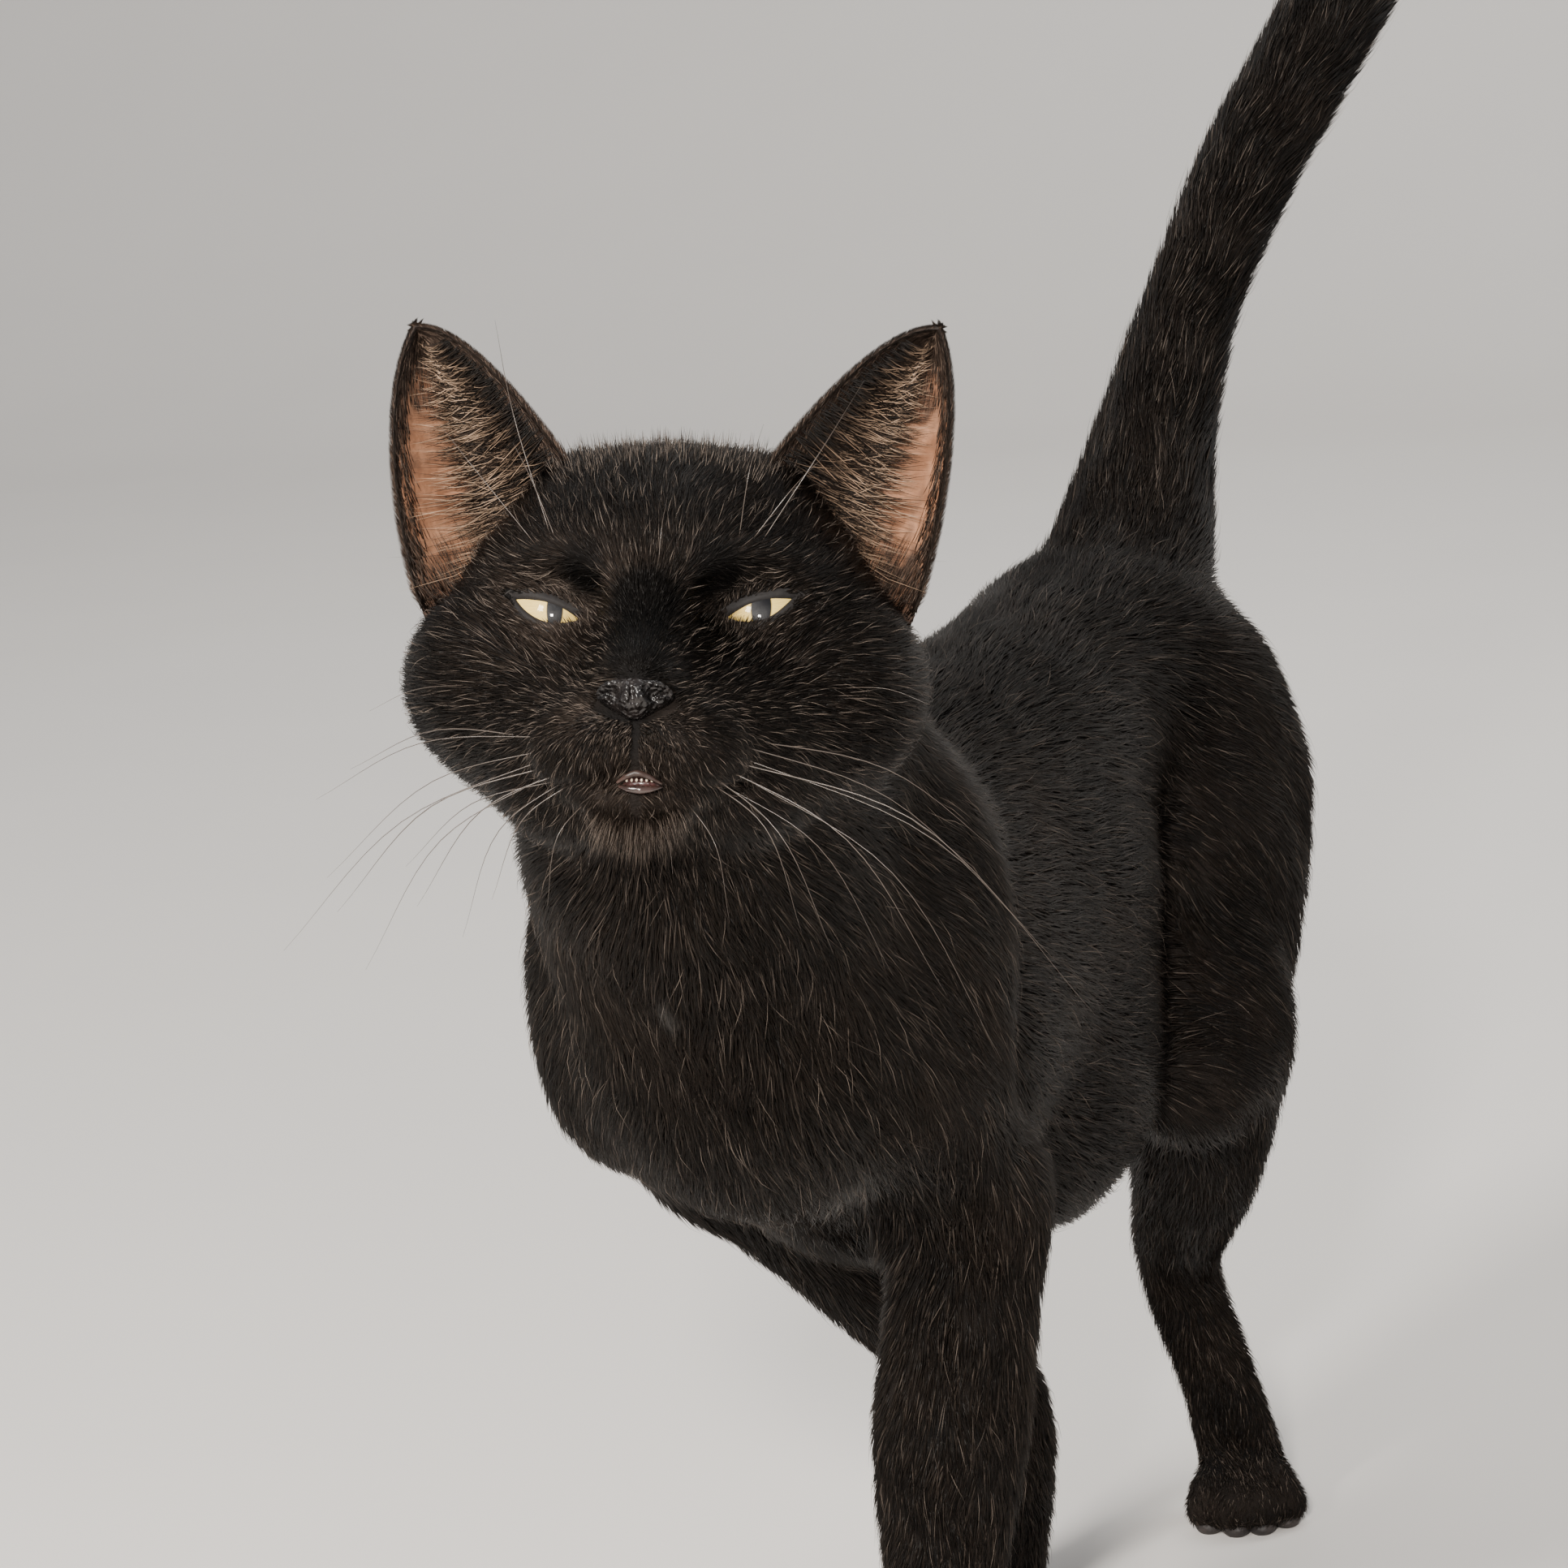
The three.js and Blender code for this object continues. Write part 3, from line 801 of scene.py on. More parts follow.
@dataclass(frozen=True)
class Strands:
    """Many thin tufts or hairs, each a three-sided spike along a path of its own.

    Attributes:
        paths: Points of each in the design, from its root to its tip.
        outward: Direction away from the skin at each root.
        widths: Width of each at its root.
        chance: A number between 0 and 1 for each, by which their looks differ.
        unwrapped: Place of each root on an unwrap of the skin, between 0 and 1.
    """

    paths: Array
    outward: Array
    widths: Array
    chance: Array
    unwrapped: Array
    patch: float = 0.003

    def rings(self) -> int:
        """How many rings of three corners each strand has before its tip."""
        return self.paths.shape[1] - 1

    def corners(self) -> Array:
        """Corners of all strands, left, right and crest of each ring, then the tip."""
        rings = self.rings()
        ahead = unit(np.diff(self.paths, axis=1))
        side = unit(np.cross(ahead, self.outward[:, None]))
        over = np.cross(side, ahead)
        width = (self.widths[:, None] * (1 - 0.6 * np.arange(rings) / rings))[:, :, None]
        middle = self.paths[:, :-1]
        ring = np.stack([middle - side * width / 2, middle + side * width / 2,
                         middle + over * width / 2], axis=2)
        count = len(self.paths)
        return np.concatenate([ring.reshape(count, -1, 3), self.paths[:, -1:]], axis=1)

    def triangles(self) -> list[tuple[int, int, int]]:
        """Triangles of one strand, by the numbers of its corners."""
        left, right, crest = 0, 1, 2
        walls = ((left, crest), (crest, right), (right, left))
        tip = 3 * self.rings()
        found = [(left, right, crest)]
        for here in range(0, tip - 3, 3):
            there = here + 3
            for a, b in walls:
                found += [(here + a, here + b, there + b), (here + a, there + b, there + a)]
        return found + [(tip - 3 + a, tip - 3 + b, tip) for a, b in walls]

    def piece(self, name: str, material: Material) -> Object:
        """Makes one piece of all the strands.

        Args:
            name: Name of the piece.
            material: What it looks like.

        Returns:
            The piece. Its UV map Strand keeps the way along each strand and its chance, and OFBake
            has a patch for each at its root's place on the unwrap.
        """
        corners = self.corners()
        count, each = corners.shape[:2]
        triangles = np.array(self.triangles())
        faces = (np.arange(count)[:, None, None] * each + triangles[None]).reshape(-1, 3)
        mesh = bpy.data.meshes.new(name)
        mesh.vertices.add(count * each)
        mesh.vertices.foreach_set("co", to_metres(corners.reshape(-1, 3)).ravel())
        mesh.loops.add(faces.size)
        mesh.loops.foreach_set("vertex_index", faces.ravel())
        mesh.polygons.add(len(faces))
        mesh.polygons.foreach_set("loop_start", np.arange(len(faces)) * 3)
        mesh.update(calc_edges=True)
        which, owner = faces.ravel() % each, faces.ravel() // each
        along = np.minimum(which // 3 / self.rings(), 1.0)
        across = np.where(which == each - 1, 0.5, np.array([0.0, 1.0, 0.5])[which % 3])
        inset = np.stack([across, along], axis=1) * self.patch
        bake = self.unwrapped[owner] * (1 - self.patch) + inset
        strand = np.stack([along, self.chance[owner]], axis=1)
        mesh.uv_layers.new(name="OFBake").uv.foreach_set("vector", bake.ravel())
        mesh.uv_layers.new(name="Strand").uv.foreach_set("vector", strand.ravel())
        return riding(name, mesh, "fur", material)


# ---- Finishes ----


class Nodes:
    """A material's node tree, with short ways to add nodes and set their sockets."""

    def __init__(self, name: str) -> None:
        """Starts a material with nothing but its shader."""
        self.material = bpy.data.materials.new(name)
        self.material.use_nodes = True
        self.tree = self.material.node_tree
        self.shader = self.tree.nodes["Principled BSDF"]

    def add(self, kind: str, **settings: object) -> bpy.types.Node:
        """Adds a node and sets its own properties."""
        node = self.tree.nodes.new(kind)
        for key, value in settings.items():
            setattr(node, key, value)
        return node

    def feed(self, node: bpy.types.Node, socket: str | int, value: object) -> None:
        """Gives an input a value, or a link if the value is a socket."""
        if isinstance(value, Socket):
            self.tree.links.new(value, node.inputs[socket])
        else:
            node.inputs[socket].default_value = value

    def fed(self, kind: str, values: dict[str | int, object], **settings: object) -> bpy.types.Node:
        """Adds a node and feeds its inputs.

        Args:
            kind: The node's type.
            values: A value or a socket for each input, by name or number.
            **settings: The node's own properties.

        Returns:
            The node.
        """
        node = self.add(kind, **settings)
        for socket, value in values.items():
            self.feed(node, socket, value)
        return node

    def math(self, operation: str, *values: object) -> Socket:
        """A math node's result."""
        return self.fed("ShaderNodeMath", dict(enumerate(values)), operation=operation).outputs[0]

    def product(self, first: Socket, *others: object) -> Socket:
        """The product of two values or more."""
        for other in others:
            first = self.math("MULTIPLY", first, other)
        return first

    def vector_math(self, operation: str, result: str, *values: object) -> Socket:
        """A vector math node's result, which is its output Value or Vector."""
        node = self.fed("ShaderNodeVectorMath", dict(enumerate(values)), operation=operation)
        return node.outputs[result]

    def rise(self, value: Socket, low: float, high: float) -> Socket:
        """Zero below low, one above high, and a smooth rise between."""
        inputs = {"Value": value, "From Min": low, "From Max": high}
        return self.fed("ShaderNodeMapRange", inputs, interpolation_type="SMOOTHSTEP").outputs[0]

    def mix(self, share: object, first: object, second: object) -> Socket:
        """A colour between two, each four numbers or a socket."""
        inputs = {0: share, 6: first, 7: second}
        return self.fed("ShaderNodeMix", inputs, data_type="RGBA").outputs[2]

    def uv(self, name: str) -> tuple[Socket, Socket]:
        """The two coordinates of a UV map."""
        where = self.add("ShaderNodeUVMap", uv_map=name).outputs["UV"]
        parts = self.fed("ShaderNodeSeparateXYZ", {0: where})
        return parts.outputs["X"], parts.outputs["Y"]

    def place(self) -> Socket:
        """Object coordinates, in metres."""
        return self.add("ShaderNodeTexCoord").outputs["Object"]

    def distance_from(self, point: Array) -> Socket:
        """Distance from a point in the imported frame, in metres."""
        return self.vector_math("DISTANCE", "Value", self.place(), tuple(point))

    def noise(self, scale: float, detail: float = 3, vector: object = None) -> Socket:
        """Noise between 0 and 1."""
        vector = self.place() if vector is None else vector
        inputs = {"Vector": vector, "Scale": scale, "Detail": detail}
        return self.fed("ShaderNodeTexNoise", inputs).outputs["Fac"]

    def bump(self, height: Socket, depth: float, strength: float = 1.0) -> None:
        """Roughens the shader's surface by a height of depth metres."""
        inputs = {"Strength": strength, "Distance": depth, "Height": height}
        self.set(Normal=self.fed("ShaderNodeBump", inputs).outputs["Normal"])

    def set(self, **values: object) -> None:
        """Sets the shader's inputs, with underscores for the spaces in their names."""
        for key, value in values.items():
            self.feed(self.shader, key.replace("_", " "), value)


Colour = tuple[float, float, float, float]
LOCKET = np.array([2.2, -76.2, 204.0])
LOCKET_HALF_HEIGHT = 4.2 * MM
LOCKET_SQUEEZE = (2.6, 0.4, 1.0)
LOCKET_RAGS = 0.003
BRIDGE = (((0, -12, -1), 9.0), ((0, -19, -8), 8.5), ((0, -24, -15), 7.5))
# Spots of painted shade in the hollows above the eyes' inner corners.
PAINTED_SHADE_BY_EYES = (((11, -5, 7), 8.0), ((-11, -5, 7), 8.0))
CHIN = (1, -22, -42)
CHIN_REACH = 15.0 * MM
CHIN_SHARE = 0.35


def white_locket(nodes: Nodes, dark: Socket, white: Colour) -> Socket:
    """The dark coat with the small white locket on the breast.

    Args:
        nodes: The material's nodes.
        dark: The coat's colour elsewhere.
        white: Colour of the locket.

    Returns:
        The colour with the mark in it.
    """
    middle = tuple(to_metres(LOCKET))
    offset = nodes.vector_math("SUBTRACT", "Vector", nodes.place(), middle)
    narrow = nodes.vector_math("MULTIPLY", "Vector", offset, LOCKET_SQUEEZE)
    reach = nodes.vector_math("LENGTH", "Value", narrow)
    ragged = nodes.math("MULTIPLY_ADD", nodes.noise(500.0), LOCKET_RAGS, reach)
    inside = nodes.rise(ragged, LOCKET_HALF_HEIGHT * 2.0, LOCKET_HALF_HEIGHT * 0.2)
    return nodes.mix(inside, dark, white)


def face_marks_and_shade(nodes: Nodes, colour: Socket, black: Colour, brown: Colour) -> Socket:
    """Blacker on the bridge of the nose, with painted shade in the hollows by the eyes' inner
    corners, and browner on the chin.

    Args:
        nodes: The material's nodes.
        colour: The coat's colour elsewhere.
        black: Colour of the dark bridge and of the painted shade by the eyes.
        brown: Colour of the chin.

    Returns:
        The colour with the markings in it.
    """
    # The bridge is the coat's own dark mark; the spots by the eyes are painted shade.
    for spot, reach in (*BRIDGE, *PAINTED_SHADE_BY_EYES):
        inside = nodes.rise(nodes.distance_from(head_spot(spot)), reach * MM, 0.55 * reach * MM)
        colour = nodes.mix(inside, colour, black)
    near_chin = nodes.rise(nodes.distance_from(head_spot(CHIN)), CHIN_REACH, 0.4 * CHIN_REACH)
    return nodes.mix(nodes.math("MULTIPLY", near_chin, CHIN_SHARE), colour, brown)


@dataclass(frozen=True)
class CoatFinish:
    """Short black hair, a little brown towards its tips, each tuft a little different; the paler
    tufts are partly lighter hairs and partly painted glints along the hair.
    """

    name: str = "coat"
    root: Colour = (0.0045, 0.0037, 0.0032, 1)
    tip: Colour = (0.021, 0.0158, 0.0125, 1)
    brown: Colour = (0.030, 0.0210, 0.0155, 1)
    pale: Colour = (0.090, 0.071, 0.058, 1)
    white: Colour = (0.085, 0.080, 0.076, 1)
    pale_share: float = 0.14
    roughness: float = 0.42
    shine: float = 0.10

    def build(self) -> Material:
        """Makes the material."""
        nodes = Nodes(self.name)
        along, chance = nodes.uv("Strand")
        lit = nodes.mix(nodes.rise(chance, 0.0, 0.9), self.root, self.tip)
        body = nodes.mix(nodes.rise(along, 0.0, 0.8), self.root, lit)
        warm = nodes.math("MULTIPLY", nodes.rise(nodes.noise(32.0), 0.45, 0.75), 0.55)
        mottled = nodes.mix(nodes.math("MULTIPLY", warm, along), body, self.brown)
        # Paler tufts: partly lighter hairs, partly painted glints of light along the hair.
        paler = nodes.rise(chance, 1 - self.pale_share, 1.0)
        streak = nodes.math("MULTIPLY", paler, nodes.rise(along, 0.1, 0.7))
        streaked = nodes.mix(streak, mottled, self.pale)
        # Dark marks, painted shade by the eyes, and the brown chin.
        marked_and_shaded = face_marks_and_shade(nodes, streaked, self.root, self.brown)
        nodes.set(Base_Color=white_locket(nodes, marked_and_shaded, self.white), Roughness=self.roughness)
        nodes.set(Specular_IOR_Level=self.shine)
        return nodes.material


@dataclass(frozen=True)
class SkinFinish:
    """Dark skin and underfur between the tufts."""

    name: str = "skin"
    dark: Colour = (0.0035, 0.0030, 0.0028, 1)
    brown: Colour = (0.011, 0.0082, 0.0066, 1)
    white: Colour = (0.05, 0.047, 0.044, 1)

    def build(self) -> Material:
        """Makes the material."""
        nodes = Nodes(self.name)
        base = nodes.mix(nodes.rise(nodes.noise(55.0), 0.35, 0.7), self.dark, self.brown)
        # Dark marks, painted shade by the eyes, and the brown chin.
        marked_and_shaded = face_marks_and_shade(nodes, base, self.dark, self.brown)
        nodes.set(Base_Color=white_locket(nodes, marked_and_shaded, self.white), Roughness=0.8)
        nodes.set(Specular_IOR_Level=0.08)
        nodes.bump(nodes.noise(1400.0, 4), 0.0006)
        return nodes.material


@dataclass(frozen=True)
class LeatherFinish:
    """Bare, pebbled leather of the nose, the pads and the rims of the lids."""

    name: str
    colour: Colour
    light: Colour
    roughness: float
    pebbles: float = 1100.0
    depth: float = 0.0002
    wet: float = 0.0

    def build(self) -> Material:
        """Makes the material."""
        nodes = Nodes(self.name)
        inputs = {"Vector": nodes.place(), "Scale": self.pebbles}
        cells = nodes.fed("ShaderNodeTexVoronoi", inputs, feature="SMOOTH_F1")
        tone = nodes.mix(nodes.rise(nodes.noise(240.0), 0.35, 0.75), self.colour, self.light)
        nodes.set(Base_Color=tone, Roughness=self.roughness, Specular_IOR_Level=0.35)
        nodes.set(Coat_Weight=self.wet, Coat_Roughness=0.12)
        nodes.bump(nodes.math("SUBTRACT", 1.0, cells.outputs["Distance"]), self.depth)
        return nodes.material


@dataclass(frozen=True)
class EyeFinish:
    """Golden iris, paler on its inner side, with an upright slit pupil under a wet film."""

    name: str
    side: int
    gaze: Array
    pupil_half_width: float
    pale: Colour = (0.56, 0.41, 0.125, 1)
    gold: Colour = (0.34, 0.23, 0.06, 1)
    rim: Colour = (0.03, 0.022, 0.012, 1)
    pupil: Colour = (0.002, 0.002, 0.003, 1)
    pupil_half_height: float = 5.4
    iris_radius: float = 8.6

    def build(self) -> Material:
        """Makes the material."""
        nodes = Nodes(self.name)
        middle = tuple(head_spot(eye_middle(self.side)))
        offset = nodes.vector_math("SUBTRACT", "Vector", nodes.place(), middle)
        ahead = unit(HEAD_TURN @ self.gaze)
        upward = HEAD_TURN @ np.array([0.0, 0, 1])
        over = unit(upward - ahead * (upward @ ahead))
        u, v = (
            nodes.vector_math("DOT_PRODUCT", "Value", offset, tuple(way / MM))
            for way in (np.cross(ahead, over), over)
        )
        wide = nodes.math("DIVIDE", u, self.pupil_half_width)
        high = nodes.math("DIVIDE", v, self.pupil_half_height)
        bulge = nodes.math("SUBTRACT", 1.0, nodes.product(high, high))
        bulge = nodes.math("MAXIMUM", bulge, 0.01)
        slit = nodes.math("DIVIDE", nodes.math("ABSOLUTE", wide), bulge)
        squares = nodes.math("ADD", nodes.product(u, u), nodes.product(v, v))
        reach = nodes.math("SQRT", squares)
        spokes = {0: nodes.product(nodes.math("ARCTAN2", v, u), 9.0), 1: nodes.product(reach, 0.22)}
        fibre = nodes.noise(1.6, 5, nodes.fed("ShaderNodeCombineXYZ", spokes).outputs[0])
        shade = nodes.math("ADD", fibre, nodes.product(u, 0.03 * self.side))
        iris = nodes.mix(nodes.rise(shade, 0.15, 1.0), self.pale, self.gold)
        edge = nodes.rise(reach, self.iris_radius - 1.2, self.iris_radius)
        ringed = nodes.mix(edge, iris, self.rim)
        colour = nodes.mix(nodes.rise(slit, 1.12, 0.92), ringed, self.pupil)
        nodes.set(Base_Color=colour, Roughness=0.45, Specular_IOR_Level=0.15)
        nodes.set(Coat_Weight=0.55, Coat_Roughness=0.02, Coat_IOR=1.38)
        nodes.bump(fibre, 0.0001, 0.4)
        return nodes.material


@dataclass(frozen=True)
class EarSkinFinish:
    """Thin skin inside an ear, warm where light is painted shining through it, and darker towards
    tip and inner rim where no light is painted.
    """

    name: str = "ear_skin"
    warm: Colour = (0.17, 0.076, 0.040, 1)
    rose: Colour = (0.27, 0.135, 0.077, 1)
    dark: Colour = (0.045, 0.027, 0.019, 1)

    def build(self) -> Material:
        """Makes the material."""
        nodes = Nodes(self.name)
        across, up = nodes.uv("Leaf")
        broken = nodes.math("MULTIPLY_ADD", nodes.noise(130.0, 6), 0.9, -0.45)
        ends = ((across, 0.22, 0.62), (up, 0.92, 0.52), (up, 0.04, 0.22), (across, 1.12, 0.86))
        # Painted light: lit marks where light is painted shining through the skin; elsewhere it
        # stays dark.
        lit = nodes.product(*(
            nodes.rise(nodes.math("ADD", way, broken), start, end) for way, start, end in ends
        ))
        flush = nodes.mix(nodes.rise(nodes.noise(150.0, 5), 0.35, 0.65), self.warm, self.rose)
        nodes.set(Base_Color=nodes.mix(lit, self.dark, flush), Roughness=0.55)
        nodes.set(Specular_IOR_Level=0.3)
        nodes.bump(nodes.noise(420.0, 4), 0.0004)
        return nodes.material


@dataclass(frozen=True)
class MottledFinish:
    """One colour, a little darker in soft patches, such as a whisker's or the floor's."""

    name: str
    colour: Colour
    darker: float
    patches: float
    roughness: float

    def build(self) -> Material:
        """Makes the material."""
        nodes = Nodes(self.name)
        shade = tuple(self.darker * c for c in self.colour[:3]) + (1,)
        mottled = nodes.mix(nodes.noise(self.patches), shade, self.colour)
        nodes.set(Base_Color=mottled, Roughness=self.roughness)
        return nodes.material


# ---- Skin ----


@dataclass
class Lids:
    """The slanting almond between the half closed lids, in a plane before each eyeball."""

    width: float = 14.4
    upper: float = 0.9
    lower: float = 3.1
    slant: float = 18.0
    shifts: tuple[tuple[float, float], tuple[float, float]] = ((0.15, 1.2), (0.5, 0.6))

    def shift(self, side: int) -> Array:
        """How far the almond's middle lies from the eyeball's, outwards and upwards."""
        return np.array(self.shifts[SIDES.index(side)])

    def flatten(self, local: Array, side: int) -> Array:
        """Lays points into the almond's plane, with its inner corner to the left.

        Args:
            local: Points in the head's axes.
            side: 1 for the left eye and -1 for the right.

        Returns:
            Places in the plane.
        """
        offset = local - eye_middle(side)
        slant = math.radians(self.slant)
        along = side * offset[:, 0] * math.cos(slant) + offset[:, 2] * math.sin(slant)
        over = -side * offset[:, 0] * math.sin(slant) + offset[:, 2] * math.cos(slant)
        return np.stack([along, over], axis=1) - self.shift(side)

    def raise_up(self, flat: Array, side: int, reach: float) -> Array:
        """Lifts places in the almond's plane to a ball round the eye.

        Args:
            flat: Places in the plane.
            side: 1 for the left eye and -1 for the right.
            reach: Radius of the ball.

        Returns:
            Points in the head's axes.
        """
        slant = math.radians(self.slant)
        flat = flat + self.shift(side)
        across = flat[:, 0] * math.cos(slant) - flat[:, 1] * math.sin(slant)
        over = flat[:, 0] * math.sin(slant) + flat[:, 1] * math.cos(slant)
        depth = np.sqrt(np.maximum(reach**2 - across**2 - over**2, 0))
        return eye_middle(side) + np.stack([side * across, -depth, over], axis=1)

    def inside(self, flat: Array) -> Array:
        """How far places lie inside the almond, negative outside, in millimetres."""
        half = self.width / 2
        arch = 1 - (flat[:, 0] / half) ** 2
        return np.minimum(self.upper * arch - flat[:, 1], self.lower * arch + flat[:, 1])

    def rim(self, turn: Array, outset: float) -> Array:
        """The almond's edge, moved outwards.

        Args:
            turn: Where on the edge, 0 to 1 once round from the outer corner over the top.
            outset: How far outside the edge.

        Returns:
            Places in the almond's plane.
        """
        half = self.width / 2
        angle = turn * math.tau
        along = np.cos(angle)
        height = np.where(angle < math.pi, self.upper, -self.lower) * (1 - along**2)
        edge = np.stack([along * half, height], axis=1)
        ahead = np.roll(edge, -1, axis=0) - np.roll(edge, 1, axis=0)
        outward = unit(np.stack([ahead[:, 1], -ahead[:, 0]], axis=1))
        return edge + outward * outset


LIDS = Lids()


@dataclass
class Skin:
    """One closed skin, shaped by the masses and sunk by the depth of the coat."""

    voxel: float = 2.3
    push: float = 0.6
    face_reach: float = 12.0
    face_half_width: float = 46.0
    face_bottom: float = -52.0
    paw_height: float = 26.0
    eye_opening: float = 1.0
    fine: tuple[tuple[Triple, float], ...] = (
        ((0, -24, -30), 24.0), ((20, 0, 0), 17.0), ((-20, 0, 0), 17.0),
    )

    def joined_flesh(self) -> bpy.types.Mesh:
        """The CAD solids, merged, swelled a little so that they meet, as one mesh of even quads."""
        bm = bmesh.new()
        for name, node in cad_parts.items():
            if not name.startswith("ear"):
                copy = bmesh.new()
                copy.from_mesh(node.data)
                bmesh.ops.remove_doubles(copy, verts=copy.verts, dist=MERGE)
                copy.normal_update()
                for vertex in copy.verts:
                    vertex.co += vertex.normal * self.push * MM
                append(bm, copy)
        mesh = mesh_of("joined_flesh", bm)
        carrier = add_object("joined_flesh", mesh)
        remesh = carrier.modifiers.new("remesh", "REMESH")
        remesh.mode = "VOXEL"
        remesh.voxel_size = self.voxel * MM
        graph = bpy.context.evaluated_depsgraph_get()
        even = bpy.data.meshes.new_from_object(carrier.evaluated_get(graph))
        bpy.data.objects.remove(carrier)
        bpy.data.meshes.remove(mesh)
        return even

    def settle(self, bm: BMesh, rounds: int) -> None:
        """Lays the vertices on the skin's level, evening them out between.

        Args:
            bm: The skin.
            rounds: How often it is evened out and laid down again.
        """
        all_axes = dict(use_axis_x=True, use_axis_y=True, use_axis_z=True)
        for i in range(rounds):
            points = design_of(bm)
            points, _ = ANATOMY.settle(points, -coat_depth(points), 3 if i == 0 else 2)
            place(bm, lambda _: to_metres(points))
            if i < rounds - 1:
                bmesh.ops.smooth_vert(bm, verts=bm.verts, factor=0.5, **all_axes)

    def refine(self, bm: BMesh, wanted: Callable[[Array], Array]) -> None:
        """Halves the edges between vertices for which wanted is true."""
        chosen = wanted(to_head(design_of(bm)))
        bm.verts.index_update()
        edges = [e for e in bm.edges if chosen[e.verts[0].index] and chosen[e.verts[1].index]]
        bmesh.ops.subdivide_edges(bm, edges=edges, cuts=1, use_grid_fill=True)

    def in_face(self, local: Array) -> Array:
        """Whether points in the head's axes are on the front of the face."""
        broad = (np.abs(local[:, 0]) < self.face_half_width) & (local[:, 2] > self.face_bottom)
        return broad & (local[:, 1] < self.face_reach)

    def in_paws(self, local: Array) -> Array:
        """Whether points in the head's axes are low enough to be on the paws."""
        return from_head(local)[:, 2] < self.paw_height

    def in_detail(self, local: Array) -> Array:
        """Whether points in the head's axes are near the mouth, nose or eyes."""
        near = [np.linalg.norm(local - np.array(c), axis=1) < reach for c, reach in self.fine]
        return self.in_face(local) & np.any(near, axis=0)

    def build(self) -> Object:
        """Makes the skin."""
        even = self.joined_flesh()
        bm = bmesh.new()
        bm.from_mesh(even)
        bpy.data.meshes.remove(even)
        self.settle(bm, 3)
        self.refine(bm, self.in_face)
        self.refine(bm, self.in_paws)
        self.settle(bm, 2)
        self.refine(bm, self.in_detail)
        self.settle(bm, 2)
        local = to_head(design_of(bm))
        bm.verts.index_update()
        open_eye = np.zeros(len(local), bool)
        for side in SIDES:
            ahead = (local[:, 1] < EYE_DEPTH) & (local[:, 1] > -10)
            open_eye |= ahead & (LIDS.inside(LIDS.flatten(local, side)) > -self.eye_opening)
        gone = [f for f in bm.faces if all(open_eye[v.index] for v in f.verts)]
        bmesh.ops.delete(bm, geom=gone, context="FACES")
        bmesh.ops.recalc_face_normals(bm, faces=bm.faces)
        skin = smooth_piece("skin", bm, "fur", SkinFinish().build())
        flesh = [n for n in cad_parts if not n.startswith(("ear", "eye", "nose"))]
        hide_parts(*flesh)
        return skin


# ---- Eyes ----


def woven(columns: int, rows: int, surface: Callable[[Array, Array], Array],
          uv_name: str | None = None, closed: bool = False) -> BMesh:
    """A sheet of quads carried onto a surface.

    Args:
        columns: Faces across.
        rows: Faces along.
        surface: Gives points in metres from shares across and along, each 0 to 1.
        uv_name: Name of a UV map that keeps the two shares, if wanted.
        closed: Whether the first and last columns meet.

    Returns:
        The sheet.
    """
    bm = bmesh.new()
    bmesh.ops.create_grid(bm, x_segments=columns, y_segments=rows, size=0.5)
    if uv_name:
        layer = bm.loops.layers.uv.new(uv_name)
        for face in bm.faces:
            for loop in face.loops:
                loop[layer].uv = (loop.vert.co.x + 0.5, loop.vert.co.y + 0.5)
    place(bm, lambda points: surface(points[:, 0] + 0.5, points[:, 1] + 0.5))
    if closed:
        bmesh.ops.remove_doubles(bm, verts=bm.verts, dist=MERGE)
    return bm


